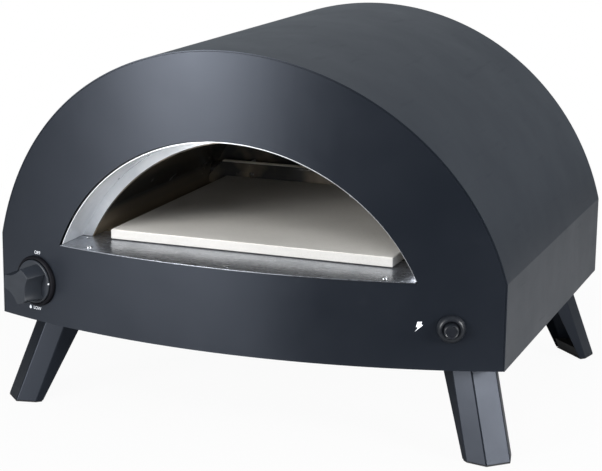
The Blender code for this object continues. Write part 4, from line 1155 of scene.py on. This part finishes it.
@dataclass
class Mouth:
    """The polished strip round the arch, the sill, and their screws and rivets.

    Attributes:
        back: The y of the strip's inner end.
        ahead: A y in front of all of the body.
        below: A height under the sill.
        above: A height over the arch.
        floor: The height of the sill's upper face.
        sheet: The thickness of the strip.
        set_back: How far the strip's edge stands behind the panel's face.
        aside: How far the strip sits off the middle, as fitted.
        flange: How deep the strip's flange is.
        strip_edge: The rounding of the strip's and the rivets' edges.
        sill_low: The height of the sill's underside.
        sill_proud: How far the sill stands out of the panel.
        sill_rear: The y of the sill's rear end.
        sill_edge: The rounding of the sill's edges.
        sill_corner: The rounding of its two front corners.
        corner_from: How far out an upright edge of the sill is one of its corners.
        lip: How far the sill's narrow part stays inside the flange.
        screws: The x of each screw.
        screw_setback: How far the screws stand behind the bow.
        screw_radius: The radius of a screw's head.
        screw_heights: How high each head stands. The stone slides over the middle one.
        screw_sunk: How far a screw reaches below the sill's face.
        sink: The radius of a screw's hole.
        rivet_rings: The outline of a rivet.
        rivets: Each strip rivet's degrees from the top of the arch, and its y.
        sill_rivet: The x and y of the rivet at the sill's right end.
    """

    back: float = -0.1713
    ahead: float = -0.27
    below: float = 0.1
    above: float = 0.32
    floor: float = 0.1792
    sheet: float = 0.0008
    set_back: float = 0.0021
    aside: float = 0.0007
    flange: float = 0.0105
    strip_edge: float = 0.0002
    sill_low: float = 0.1783
    sill_proud: float = 0.0011
    sill_rear: float = -0.1453
    sill_edge: float = 0.0003
    sill_corner: float = 0.0035
    corner_from: float = 0.18
    lip: float = 0.0015
    screws: Triple = (-0.1535, 0.0, 0.1535)
    screw_setback: float = 0.0095
    screw_radius: float = 0.003
    screw_heights: Triple = (0.0013, 0.00045, 0.0013)
    screw_sunk: float = 0.0076
    sink: float = 0.0033
    rivet_rings: tuple[Pair, ...] = ((0.0017, -0.0003), (0.0017, 0.0002), (0.0012, 0.0007))
    rivets: tuple[Pair, ...] = (
        (-44.2, -0.1762), (-32.0, -0.1776), (1.0, -0.2300), (24.6, -0.2290), (37.7, -0.2270),
    )
    sill_rivet: Pair = (0.1735, -0.1800)

    def strip(self) -> None:
        """The strip that lines the arch, with the flange at its inner end."""
        foot = self.floor + GAP
        strip = MOUTH_ARCH.prism("arch_strip", foot, self.ahead, self.back)
        low, front = foot - OVERRUN, self.ahead - OVERRUN
        bore = MOUTH_ARCH.prism("strip_bore", low, front, self.back - self.sheet, self.sheet)
        eye = MOUTH_ARCH.prism("strip_eye", low, front, self.back + OVERRUN, self.flange)
        Bench.combine(strip, Tool.CUT, bore, eye)
        Bench.combine(strip, Tool.TRIM, BOW.drum(self.set_back, low, self.above))
        Bench.place(strip, Matrix.Translation((self.aside, 0, 0)))
        hand_over(Bench.ease(strip, self.strip_edge), SATIN, "oven_body", "mouth_arch_trim")

    def sill(self) -> None:
        """The sill: wide in front, narrow in the chamber, its front edge a little proud of the panel."""
        low, high = self.sill_low, self.floor
        half = MOUTH_ARCH.half_at(high)
        narrow = MOUTH_ARCH.half_at(high, self.flange + self.lip) - GAP
        sill = Bench.block("sill_plate", (-half, self.ahead, low), (half, self.back, high))
        start = self.back - OVERRUN
        tongue = Bench.block("sill_tongue", (-narrow, start, low), (narrow, self.sill_rear, high))
        Bench.combine(sill, Tool.JOIN, tongue)
        Bench.combine(sill, Tool.TRIM, BOW.drum(-self.sill_proud, self.below, self.above))
        Bench.edit(sill)
        Bench.pick(sill, Element.EDGES, self.is_front_corner)
        Bench.round_edges(self.sill_corner, 6)
        Bench.close()
        for x in self.screws:
            y = BOW.depth(x, self.screw_setback)
            sink = Bench.rod("sill_sink", self.sink, (x, y, low - OVERRUN), (x, y, high + OVERRUN))
            Bench.combine(sill, Tool.CUT, sink)
        hand_over(Bench.ease(sill, self.sill_edge, 3), BRUSHED, "oven_body", "mouth_sill")

    def is_front_corner(self, edge: bmesh.types.BMEdge) -> bool:
        """Whether an edge is an upright corner at the sill's front.

        Args:
            edge: An edge of the sill.

        Returns:
            True for a corner.
        """
        first, second = (vert.co for vert in edge.verts)
        upright = abs(first.x - second.x) < NEAR and abs(first.y - second.y) < NEAR
        return upright and abs(first.x) > self.corner_from and first.y < self.back - NEAR

    def fasten(self) -> None:
        """The screws along the sill, the rivets in the strip and those at the sill's ends."""
        for side, x, height in zip(("left", "centre", "right"), self.screws, self.screw_heights):
            place = Matrix.Translation((x, BOW.depth(x, self.screw_setback), self.floor))
            screw = pan_screw(f"sill_screw_head_{side}", self.screw_radius, height, self.screw_sunk)
            hand_over(Bench.place(screw, place), SCREW_STEEL, "oven_body", f"sill_screw_{side}")
        rivet = Bench.ease(Bench.lathe("rivet", self.rivet_rings, 24), self.strip_edge)
        for number, (angle, y) in enumerate(self.rivets):
            turn = Matrix.Rotation(math.radians(angle) + math.pi, 4, "Y")
            place = Matrix.Translation(MOUTH_ARCH.at(angle, y, self.sheet)) @ turn
            # Painted shade: the rivets left of the crown are dressed dark and the others bright, though all
            # are alike.
            finish = DARK_STEEL_AND_SHADE if angle < 0 else SCREW_STEEL
            hand_over(Bench.twin(rivet, f"strip_rivet_{number}", place), finish, "oven_body")
        x, y = self.sill_rivet
        for name, side in (("sill_rivet_left", -1), ("sill_rivet_right", 1)):
            place = Matrix.Translation((side * x, y, self.floor))
            hand_over(Bench.twin(rivet, name, place), SCREW_STEEL, "oven_body")
        Bench.drop(rivet)

    def build(self) -> None:
        """Builds and dresses all of the mouth."""
        self.strip()
        self.sill()
        self.fasten()


@dataclass
class Chamber:
    """The enamelled liner, the burner guard and the stone.

    Attributes:
        front: The y of the liner's front wall.
        rear: The y of the liner's rear end.
        foot: The height of the liner's bottom.
        sheet: The thickness of the liner.
        mouth_inset: How far the liner's mouth stands in from the arch.
        venturi: The y, z and radius of the venturi's hole in the left side.
        electrode: The y, z and radius of the electrode's hole in the right side.
        hole_reach: How far from the middle the tool for those holes starts and ends.
        liner_edge: The rounding of the liner's edges.
        guard_edge: The rounding of the guard's edges.
        screw_edge: The rounding of its screw's edges.
        stone_edge: How far the stone's edges are rubbed off.
    """

    front: float = -0.1710
    rear: float = 0.1537
    foot: float = 0.0965
    sheet: float = 0.001
    mouth_inset: float = 0.012
    venturi: Triple = (0.1377, 0.193, 0.0086)
    electrode: Triple = (0.1377, 0.199, 0.0038)
    hole_reach: Pair = (0.16, 0.19)
    liner_edge: float = 0.0003
    guard_edge: float = 0.0005
    screw_edge: float = 0.0002
    stone_edge: float = 0.0014

    def liner(self) -> None:
        """The arch over the stone, its front wall round the mouth and its two holes."""
        liner = LINER_ARCH.prism("liner_skin", self.foot, self.front, self.rear)
        low, back = self.foot - OVERRUN, self.rear + OVERRUN
        bore = LINER_ARCH.prism("liner_bore", low, self.front + self.sheet, back, self.sheet)
        start, end = self.front - OVERRUN, self.front + OVERRUN
        mouth = MOUTH_ARCH.prism("liner_mouth", SILL_SEAT, start, end, self.mouth_inset)
        Bench.combine(liner, Tool.CUT, bore, mouth)
        for side, (y, z, radius) in ((-1, self.venturi), (1, self.electrode)):
            ends = ((side * reach, y, z) for reach in self.hole_reach)
            Bench.combine(liner, Tool.CUT, Bench.rod("liner_hole", radius, *ends))
        hand_over(Bench.ease(liner, self.liner_edge), ENAMEL, "oven_body", "chamber_liner")

    def guard(self) -> None:
        """The low wall in front of the burner, and its screw."""
        guard = refined("burner_guard", "guard_skin", self.guard_edge, 4)
        # The guard's enamel has a highlight painted along its top edge.
        hand_over(guard, GUARD_ENAMEL, "oven_body", "burner_guard")
        screw = refined("guard_screw", "guard_screw_head", self.screw_edge)
        hand_over(screw, SCREW_STEEL, "oven_body", "guard_screw")

    def stone(self) -> None:
        """The stone, a slab with rubbed edges."""
        stone = Bench.block("stone_slab", *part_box("pizza_stone"))
        Bench.edit(stone)
        Bench.round_edges(self.stone_edge, 4)
        Bench.close()
        Bench.settle_shading(stone)
        hand_over(stone, STONE, "stone", "pizza_stone")

    def build(self) -> None:
        """Builds and dresses all of the chamber."""
        self.liner()
        self.guard()
        self.stone()


@dataclass
class Controls:
    """The gas knob with its ring, the igniter, and the white marks beside them.

    A ring is a radius and a height on the control's axis, which stands out of the panel.

    Attributes:
        lobes: How many scoops the knob's grip has.
        phase: How far the first scoop is turned.
        scoop: The radius of a scoop.
        waist: How far the scoops stay off the axis, at the grip's foot and at its face.
        rim: The ring at the grip's foot.
        face: The ring at the grip's face.
        grip_edge: The rounding of the grip's ridges.
        hollow: The ring at the end of the knob's hollow.
        bore: The ring at the end of the stem's hole.
        dot: The upper ring of the knob's dot.
        dot_at: The place of the dot on the skirt.
        dot_tilt: How far the dot leans with the skirt.
        skirt_rings: The outline of the knob's skirt.
        bezel_rings: The outline of the ring round the knob, made wide so that its near-black face also paints
            the knob's shadow.
        housing_rings: The outline of the igniter's housing.
        button_rings: The outline of the igniter's button.
        paint: How far the marks reach to each side of their middle.
        lift: How far that middle stands off the panel.
        off_size: The height of OFF's capitals, roughly.
        low_size: The height of LOW's capitals, roughly.
        off_step: The way from the knob's axis to the middle of OFF.
        low_step: The way from the knob's axis to the middle of LOW.
        flame_step: The way from the knob's axis to the middle of the flame.
        bolt_step: The way from the igniter's axis to the middle of the bolt.
        flame: The flame's outline.
        bolt: The bolt's outline.
    """

    lobes: int = 3
    phase: float = math.radians(-8)
    scoop: float = 0.0268
    waist: Pair = (0.0128, 0.0118)
    rim: Pair = (0.0204, 0.0055)
    face: Pair = (0.0184, 0.0285)
    grip_edge: float = 0.0009
    hollow: Pair = (0.0095, 0.0125)
    bore: Pair = (0.00388, 0.0243)
    dot: Pair = (0.0009, 0.0003)
    dot_at: Triple = (0.0219, 0.0010, 0.0056)
    dot_tilt: float = math.radians(55)
    skirt_rings: tuple[Pair, ...] = (
        (0.0216, 0.0040), (0.0222, 0.0043), (0.0222, 0.0052), (0.0218, 0.0059), (0.0208, 0.0062),
    )
    bezel_rings: tuple[Pair, ...] = (
        (0.0229, 0.0003), (0.0258, 0.0003), (0.0258, 0.0024), (0.0253, 0.0034),
        (0.0242, 0.0042), (0.0231, 0.0043), (0.0229, 0.0039),
    )
    housing_rings: tuple[Pair, ...] = (
        (0.0090, 0.0003), (0.0135, 0.0003), (0.0135, 0.0014), (0.0132, 0.0028), (0.0124, 0.0043),
        (0.0112, 0.0055), (0.0099, 0.0062), (0.0088, 0.0063), (0.0080, 0.0058), (0.00745, 0.0048),
        (0.00718, 0.0038), (0.00718, -0.0380), (0.0015, -0.0380), (0.0015, -0.0420), (0.0090, -0.0420),
    )
    button_rings: tuple[Pair, ...] = (
        (0.0071, -0.0080), (0.0071, 0.0112), (0.0070, 0.0120), (0.0066, 0.0127),
        (0.0060, 0.0130), (0.0055, 0.0127), (0.0050, 0.0121), (0.0042, 0.0119),
    )
    paint: float = 0.00004
    lift: float = 0.00005
    off_size: float = 0.0048
    low_size: float = 0.0046
    off_step: Pair = (0.0011, 0.0290)
    low_step: Pair = (-0.0004, -0.0290)
    flame_step: Pair = (-0.0098, -0.0292)
    bolt_step: Pair = (-0.0291, 0.0007)
    flame: tuple[Pair, ...] = (
        (0.0, 0.0027), (0.0014, 0.0009), (0.0018, -0.0008), (0.0, -0.0020), (-0.0018, -0.0008),
        (-0.0011, 0.0006),
    )
    bolt: tuple[Pair, ...] = (
        (-0.0010, 0.0049), (-0.0024, -0.0001), (-0.0004, -0.0008), (-0.0038, -0.0052), (0.0041, 0.0016),
        (0.0024, 0.0027), (0.0032, 0.0049),
    )

    def grip(self) -> Object:
        """The knob's grip, a cone with a scoop for each lobe.

        Returns:
            The grip, about Z.
        """
        (_, low), (_, high) = self.rim, self.face
        wide, slim = (waist + self.scoop for waist in self.waist)
        grip = Bench.lathe("knob_grip", [self.rim, self.face], 120)
        for i in range(self.lobes):
            turn = 2 * math.pi * i / self.lobes + self.phase
            ends = (
                (reach * math.cos(turn), reach * math.sin(turn), height)
                for reach, height in ((2 * wide - slim, 2 * low - high), (2 * slim - wide, 2 * high - low))
            )
            Bench.combine(grip, Tool.CUT, Bench.rod("scoop", self.scoop, *ends, 160))
        return Bench.ease(grip, self.grip_edge, 3)

    def knob(self) -> None:
        """The knob: its grip on a round skirt, hollow underneath, with a dot on the skirt."""
        place = BOW.frame(*KNOB_AT)
        knob = self.grip()
        Bench.combine(knob, Tool.JOIN, Bench.lathe("knob_skirt", self.skirt_rings, 120))
        hollow = Bench.lathe("knob_hollow", [(self.hollow[0], -OVERRUN), self.hollow], 64)
        bore = Bench.lathe("knob_bore", [(self.bore[0], 0.0), self.bore], 48)
        Bench.combine(knob, Tool.CUT, hollow, bore)
        Bench.smooth(knob)
        hand_over(Bench.place(knob, place), KNOB_PLASTIC, "knob", "control_knob")
        dot = Bench.lathe("knob_dot", [(self.dot[0], 0.0), self.dot], 24)
        tilt = Matrix.Translation(self.dot_at) @ Matrix.Rotation(self.dot_tilt, 4, "Y")
        hand_over(Bench.place(dot, place @ tilt), PRINT, "knob")
        bezel = Bench.lathe("knob_ring", self.bezel_rings, 96, capped=False)
        Bench.smooth(bezel)
        hand_over(Bench.place(bezel, place), RING_PLASTIC_AND_SHADE, "oven_body", "knob_bezel")

    def igniter(self) -> None:
        """The igniter's housing and its push button."""
        place = BOW.frame(*IGNITER_AT)
        housing = Bench.lathe("igniter_shell", self.housing_rings, 72, capped=False)
        Bench.smooth(housing)
        hand_over(Bench.place(housing, place), BUTTON_PLASTIC, "oven_body", "igniter_housing")
        button = Bench.lathe("button_cap", self.button_rings, 64)
        Bench.smooth(button)
        hand_over(Bench.place(button, place), BUTTON_PLASTIC, "button", "igniter_button")

    def word(self, name: str, letters: str, size: float, control: Pair, step: Pair) -> None:
        """A generic word on the panel, in thin paint.

        Args:
            name: The name of the piece.
            letters: The word.
            size: The height of its capitals, roughly.
            control: The x and z of the control beside it.
            step: The way from there to its middle.
        """
        bpy.ops.object.text_add(location=(0, 0, 0))
        text = bpy.context.active_object
        text.name = name
        text.data.body = letters
        text.data.size = size
        text.data.align_x = "CENTER"
        text.data.align_y = "CENTER"
        self.paint_on(text, control, step)

    def mark(self, name: str, corners: Sequence[Pair], curved: bool, control: Pair, step: Pair) -> None:
        """A filled outline on the panel, in thin paint.

        Args:
            name: The name of the piece.
            corners: Its outline in the panel's plane.
            curved: Whether the outline runs smoothly through its corners.
            control: The x and z of the control beside it.
            step: The way from there to its middle.
        """
        curve = bpy.data.curves.new(name, "CURVE")
        curve.dimensions = "2D"
        curve.fill_mode = "BOTH"
        spline = curve.splines.new("NURBS" if curved else "POLY")
        spline.points.add(len(corners) - 1)
        for point, corner in zip(spline.points, corners):
            point.co = (*corner, 0, 1)
        spline.use_cyclic_u = True
        outline = bpy.data.objects.new(name, curve)
        bpy.context.scene.collection.objects.link(outline)
        self.paint_on(outline, control, step)

    def paint_on(self, outline: Object, control: Pair, step: Pair) -> None:
        """Makes a text or curve a thin mesh, lays it on the panel and hands it over.

        Args:
            outline: The text or curve, about the origin.
            control: The x and z of the control beside it.
            step: The way from there to its middle.
        """
        name = outline.name
        outline.data.extrude = self.paint
        Bench.take(outline)
        bpy.ops.object.convert(target="MESH")
        mark = bpy.context.active_object
        mark.name = mark.data.name = name
        x, z = (start + way for start, way in zip(control, step))
        Bench.place(mark, BOW.frame(x, z, -self.lift))
        Bench.tidy(mark)
        hand_over(mark, PRINT, "oven_body")

    def marks(self) -> None:
        """OFF over the knob, a flame and LOW under it, and a bolt by the igniter."""
        self.word("mark_off", "OFF", self.off_size, KNOB_AT, self.off_step)
        self.word("mark_low", "LOW", self.low_size, KNOB_AT, self.low_step)
        self.mark("mark_flame", self.flame, True, KNOB_AT, self.flame_step)
        self.mark("mark_bolt", self.bolt, False, IGNITER_AT, self.bolt_step)

    def build(self) -> None:
        """Builds and dresses all of the controls."""
        self.knob()
        self.igniter()
        self.marks()


class Corner(Enum):
    """Where a leg stands: its side (-1 is left), its row (-1 is the front) and its turn in degrees."""

    FRONT_LEFT = (-1, -1, 135.0)
    FRONT_RIGHT = (1, -1, 225.0)
    REAR_RIGHT = (1, 1, 315.0)
    REAR_LEFT = (-1, 1, 45.0)


@dataclass
class Legs:
    """Four folded legs with their brackets, pins and pads.

    Attributes:
        web: The width of a leg's outer face.
        width: A leg's width over its side faces.
        shoulder: How far the slanted faces reach back.
        depth: How far the side faces reach back.
        outward: How far the outer face stands from the pivot.
        splay: The angle of a leg from upright.
        sheet: The thickness of the sheet.
        bend: The size of the rounding at a fold.
        blank: The length of the sheet before it is cut.
        round_top: The height of a leg's top over its pivot.
        top_corner: The rounding of its top corners.
        foot: The height of its lower end from its pivot.
        back_foot: How far out its back edge ends at the foot.
        back_top: The y and z of a point further up that edge.
        pin_hole: The radius of the pin's hole.
        edge: The rounding of a leg's edges.
        pad_edge: The rounding of a pad's edges.
        fitting_edge: The rounding of a bracket's and a pin's edges.
        pivot_x: How far from the middle the pivots stand.
        pivot_front: The y of the front pivots.
        pivot_rear: The y of the rear pivots.
        pivot_z: The height of the pivots.
    """

    web: float = 0.0266
    width: float = 0.050
    shoulder: float = 0.0167
    depth: float = 0.034
    outward: float = 0.024
    splay: float = math.radians(22.3)
    sheet: float = 0.0012
    bend: float = 0.0012
    blank: float = 0.17
    round_top: float = 0.010
    top_corner: float = 0.016
    foot: float = -0.083
    back_foot: float = 0.03458
    back_top: Pair = (-0.00925, -0.00379)
    pin_hole: float = 0.0026
    edge: float = 0.00025
    pad_edge: float = 0.0003
    fitting_edge: float = 0.0002
    pivot_x: float = 0.2188
    pivot_front: float = -0.1428
    pivot_rear: float = 0.1722
    pivot_z: float = 0.0845

    def folded(self) -> Object:
        """A straight length of a leg's folded sheet.

        Returns:
            The channel, along Y, with its outer face upwards.
        """
        middle = (0, self.blank / 3, self.outward)
        bpy.ops.mesh.primitive_plane_add(size=self.blank, location=middle)
        leg = Bench.started("leg_pattern")
        Bench.edit(leg)
        bpy.ops.transform.resize(value=(self.web / self.blank, 1, 1), center_override=middle)
        run = (self.width - self.web) / 2
        folds = ((self.web / 2, run, self.shoulder), (self.width / 2, 0, self.depth - self.shoulder))
        for side in (-1, 1):
            for reach, out, down in folds:
                Bench.pick(
                    leg,
                    Element.EDGES,
                    lambda edge, x=side * reach: len(edge.link_faces) == 1
                    and all(abs(v.co.x - x) < NEAR for v in edge.verts),
                )
                Bench.extrude(side * out, 0, -down)
        Bench.pick(leg, Element.EDGES, lambda edge: len(edge.link_faces) == 2)
        Bench.round_edges(self.bend, 4)
        bpy.ops.mesh.select_all(action="SELECT")
        bpy.ops.mesh.normals_make_consistent(inside=False)
        Bench.close()
        up = sum((face.normal.z for face in leg.data.polygons if abs(face.normal.z) > 0.99), 0.0)
        Bench.apply(leg, "SOLIDIFY", thickness=self.sheet, offset=-1 if up > 0 else 1, use_even_offset=True)
        Bench.tidy(leg)
        return leg

    def pattern(self) -> Object:
        """One leg about its pivot, its outer face towards +Y.

        Returns:
            The pattern that the four legs are copied from.
        """
        leg = Bench.place(self.folded(), Matrix.Rotation(self.splay - QUARTER, 4, "X"))
        top_y, top_z = self.back_top
        way = Vector((0, self.back_foot - top_y, self.foot - top_z)).normalized()
        Bench.edit(leg)
        Bench.bisect((0, 0, self.foot), (0, 0, -1))
        Bench.bisect((0, 0, self.round_top), (0, 0, 1))
        Bench.bisect((0, top_y, top_z), (0, way.z, -way.y))
        Bench.pick(leg, Element.EDGES, self.is_top_corner)
        Bench.round_edges(self.top_corner, 8)
        Bench.close()
        ends = (-self.width, 0, 0), (self.width, 0, 0)
        Bench.combine(leg, Tool.CUT, Bench.rod("leg_pin_hole", self.pin_hole, *ends))
        return Bench.ease(leg, self.edge)

    def is_top_corner(self, edge: bmesh.types.BMEdge) -> bool:
        """Whether an edge crosses the sheet at the top of a leg's back edge.

        Args:
            edge: An edge of the leg.

        Returns:
            True for such a corner.
        """
        first, second = (vert.co for vert in edge.verts)
        across = abs(first.y - second.y) < NEAR and abs(first.z - second.z) < NEAR
        return across and abs(first.z - self.round_top) < NEAR and first.y < self.back_top[0]

    def build(self) -> None:
        """Builds and dresses the legs and what carries them."""
        pattern = self.pattern()
        for corner in Corner:
            side, row, degrees = corner.value
            name = corner.name.lower()
            body = f"leg_{name}"
            y = self.pivot_front if row < 0 else self.pivot_rear
            turn = Matrix.Rotation(math.radians(degrees), 4, "Z")
            place = Matrix.Translation((side * self.pivot_x, y, self.pivot_z)) @ turn
            hand_over(Bench.twin(pattern, f"leg_skin_{name}", place), LEG_COAT, body, f"leg_{name}")
            for node, copy, width, finish, carrier in (
                ("foot_pad", "pad", self.pad_edge, RUBBER, body),
                ("leg_bracket", "bracket", self.fitting_edge, ZINC, "oven_body"),
                ("leg_pin", "pin", self.fitting_edge, SCREW_STEEL, "oven_body"),
            ):
                piece = refined(f"{node}_{name}", f"{copy}_{name}", width)
                hand_over(piece, finish, carrier, f"{node}_{name}")
        Bench.drop(pattern)


@dataclass
class Workings:
    """The pieces inside and behind the body that keep their CAD form.

    Attributes:
        barb_edge: The rounding of the inlet fitting's edges.
        nut_edge: The rounding of its nut's edges.
    """

    barb_edge: float = 0.0002
    nut_edge: float = 0.0003

    def build(self) -> None:
        """Rounds the inlet's edges and dresses all carried nodes."""
        barb = refined("inlet_fitting", "inlet_barb", self.barb_edge)
        hand_over(barb, BRASS, "oven_body", "inlet_fitting")
        nut = refined("inlet_nut", "inlet_lock_nut", self.nut_edge)
        hand_over(nut, BRASS, "oven_body", "inlet_nut")
        for finish, names in CARRIED.items():
            for name in names:
                finish.dress(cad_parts[name])
                LOG.info("%s: kept, in %s", name, finish.name)


@dataclass(frozen=True)
class Card:
    """A black card that only reflections see.

    Attributes:
        name: Its name.
        middle: The place of its middle.
        size: Its width and height.
        turn: How far it is turned about the upright.
        lean: How far its top leans away from the oven.
    """

    name: str
    middle: Triple
    size: Pair
    turn: float = 0.0
    lean: float = 0.0

    @staticmethod
    def felt() -> Material:
        """The cards' material, made once.

        Returns:
            The material.
        """
        found = bpy.data.materials.get("black_felt")
        if found:
            return found
        nodes = Nodes("black_felt", Roughness=1.0, Specular_IOR_Level=0.0)
        nodes.shader.inputs["Base Color"].default_value = (0.01, 0.01, 0.01, 1)
        return nodes.material

    def stand(self) -> None:
        """Sets the card up in the studio."""
        turn = (QUARTER + self.lean, 0, self.turn)
        bpy.ops.mesh.primitive_plane_add(size=1, location=self.middle, rotation=turn)
        card = bpy.context.active_object
        card.name = card.data.name = self.name
        card.scale = (*self.size, 1)
        Bench.settle(card)
        card.data.materials.append(self.felt())
        card.visible_camera = card.visible_diffuse = card.visible_shadow = card.visible_transmission = False


@dataclass(frozen=True)
class Lamp:
    """A soft lamp.

    Attributes:
        name: Its name.
        place: Where it hangs.
        aim: The point that it faces.
        size: Its width and height.
        watts: Its power.
        mirrored: Whether reflections see it.
    """

    name: str
    place: Triple
    aim: Triple
    size: Pair
    watts: float
    mirrored: bool = True

    def hang(self) -> None:
        """Hangs the lamp in the studio."""
        turn = (Vector(self.aim) - Vector(self.place)).to_track_quat("-Z", "Y").to_euler()
        bpy.ops.object.light_add(type="AREA", location=self.place, rotation=turn)
        lamp = bpy.context.active_object
        lamp.name = self.name
        lamp.data.shape = "RECTANGLE"
        lamp.data.size, lamp.data.size_y = self.size
        lamp.data.energy = self.watts
        lamp.visible_glossy = self.mirrored


@dataclass
class Studio:
    """The floor, the lamps, the surroundings and the camera.

    Attributes:
        eye: Where the camera stands.
        right: The way along the picture's width.
        up: The way along its height.
        ahead: The way it looks.
        lens: The focal length in millimetres.
        sensor: The width of the sensor in millimetres.
        sight: How far the camera sees.
        floor_half: Half of the floor's width.
        floor_drop: How far it lies below the feet.
        floor_colour: Its colour under the object.
        veil_reach: How far from the origin the floor starts and ends to fade.
        veil: How much of its white shows at those two places.
        sky_light: How much light the surroundings give.
        sky_tint: The colour of that light.
        sky_levels: How bright they look to each kind of ray.
        cards: The black cards.
        lamps: The lamps.
    """

    eye: Triple = (0.64839, -1.75939, 0.60454)
    right: Triple = (0.9354, 0.3535, 0.0116)
    up: Triple = (-0.0923, 0.2125, 0.9728)
    ahead: Triple = (-0.3413, 0.9110, -0.2314)
    lens: float = 107.65
    sensor: float = 36.0
    sight: float = 200.0
    floor_half: float = 30.0
    floor_drop: float = 0.0002
    floor_colour: Colour = (0.45, 0.45, 0.45)
    veil_reach: Pair = (0.45, 1.1)
    veil: Pair = (0.95, 1.0)
    sky_light: float = 0.4
    sky_tint: tuple[float, float, float, float] = (0.84, 0.92, 1.0, 1.0)
    sky_levels: tuple[tuple[str, float], ...] = (
        ("Is Camera Ray", 1.0), ("Is Transmission Ray", 1.0), ("Is Glossy Ray", 0.34),
    )
    cards: tuple[Card, ...] = (
        Card("front_card", (0.65, -0.76, 0.505), (1.3, 1.2), lean=math.radians(34.5)),
        Card("left_card", (-1.0, 0.35, 0.5), (1.4, 1.0), turn=QUARTER),
    )
    lamps: tuple[Lamp, ...] = (
        Lamp("key_lamp", (-1.1, -2.15, 0.6), (-0.05, -0.2, 0.28), (0.8, 0.9), 60.0),
        Lamp("side_lamp", (2.07, -0.62, 0.73), (0.25, -0.17, 0.05), (0.8, 0.8), 51.0),
        Lamp("top_lamp", (0.1, 0.5, 2.0), (0.0, 0.1, 0.2), (1.5, 1.5), 12.5),
        Lamp("low_mouth_lamp", (0.45, -1.5, 0.4), (-0.05, 0.0, 0.22), (0.5, 0.5), 2.5, mirrored=False),
        Lamp("high_mouth_lamp", (0.15, -1.25, 1.0), (-0.05, -0.1, 0.2), (0.8, 0.3), 9.5, mirrored=False),
    )

    def floor(self) -> None:
        """A plain pale floor that keeps the object's shadow."""
        bpy.ops.mesh.primitive_plane_add(size=2 * self.floor_half, location=(0, 0, -self.floor_drop))
        floor = Bench.started("studio_floor")
        nodes = Nodes("pale_floor", Roughness=0.9, Specular_IOR_Level=0.0)
        nodes.shader.inputs["Base Color"].default_value = (*self.floor_colour, 1)
        light = nodes.add("Emission", Color=(1, 1, 1, 1), Strength=1.0)
        path = nodes.tree.nodes.new("ShaderNodeLightPath")
        reach = nodes.add("VectorMath", Vector=nodes.place)
        reach.operation = "LENGTH"
        pale = nodes.span(reach.outputs["Value"], *self.veil_reach, *self.veil)
        veil = nodes.reckon(Mixing.MULTIPLY, pale, path.outputs["Is Camera Ray"])
        mix = nodes.tree.nodes.new("ShaderNodeMixShader")
        nodes.tree.links.new(veil, mix.inputs[0])
        nodes.tree.links.new(nodes.shader.outputs[0], mix.inputs[1])
        nodes.tree.links.new(light.outputs[0], mix.inputs[2])
        nodes.tree.links.new(mix.outputs[0], nodes.tree.nodes["Material Output"].inputs["Surface"])
        floor.data.materials.append(nodes.material)

    def surroundings(self) -> None:
        """A white room for the camera, and a softer one for reflections and for the light."""
        world = bpy.data.worlds.new("white_room")
        bpy.context.scene.world = world
        world.use_nodes = True
        tree = world.node_tree
        sky = tree.nodes["Background"]
        path = tree.nodes.new("ShaderNodeLightPath")
        tint = tree.nodes.new("ShaderNodeMix")
        tint.data_type = "RGBA"
        tint.inputs["A"].default_value = self.sky_tint
        tint.inputs["B"].default_value = (1, 1, 1, 1)
        tree.links.new(path.outputs["Is Camera Ray"], tint.inputs["Factor"])
        tree.links.new(tint.outputs["Result"], sky.inputs["Color"])
        strength = None
        for name, level in self.sky_levels:
            share = tree.nodes.new("ShaderNodeMapRange")
            tree.links.new(path.outputs[name], share.inputs["Value"])
            share.inputs["To Min"].default_value = self.sky_light
            share.inputs["To Max"].default_value = level
            if strength is None:
                strength = share.outputs["Result"]
                continue
            either = tree.nodes.new("ShaderNodeMath")
            either.operation = "MAXIMUM"
            tree.links.new(strength, either.inputs[0])
            tree.links.new(share.outputs["Result"], either.inputs[1])
            strength = either.outputs["Value"]
        tree.links.new(strength, sky.inputs["Strength"])

    def camera(self) -> None:
        """The camera at the photograph's place."""
        turn = Matrix((self.right, self.up, [-c for c in self.ahead])).transposed().to_4x4()
        bpy.ops.object.camera_add()
        camera = bpy.context.active_object
        camera.name = "photo_camera"
        camera.matrix_world = Matrix.Translation(self.eye) @ turn
        camera.data.sensor_fit = "HORIZONTAL"
        camera.data.sensor_width = self.sensor
        camera.data.lens = self.lens
        camera.data.clip_end = self.sight
        bpy.context.scene.camera = camera

    def build(self) -> None:
        """Sets up the studio."""
        self.floor()
        self.surroundings()
        for card in self.cards:
            card.stand()
        for lamp in self.lamps:
            lamp.hang()
        self.camera()
        bpy.context.scene.view_settings.view_transform = "Standard"


def main() -> None:
    """Builds the studio and the oven, and selects the base pan at the end."""
    logging.basicConfig(level=logging.INFO, format="%(name)s: %(message)s")
    for part in (Studio(), Casing(), Mouth(), Chamber(), Controls(), Legs(), Workings()):
        LOG.info("building %s", type(part).__name__)
        part.build()
    Bench.take(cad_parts["base_pan"])


if __name__ == "__main__":
    main()
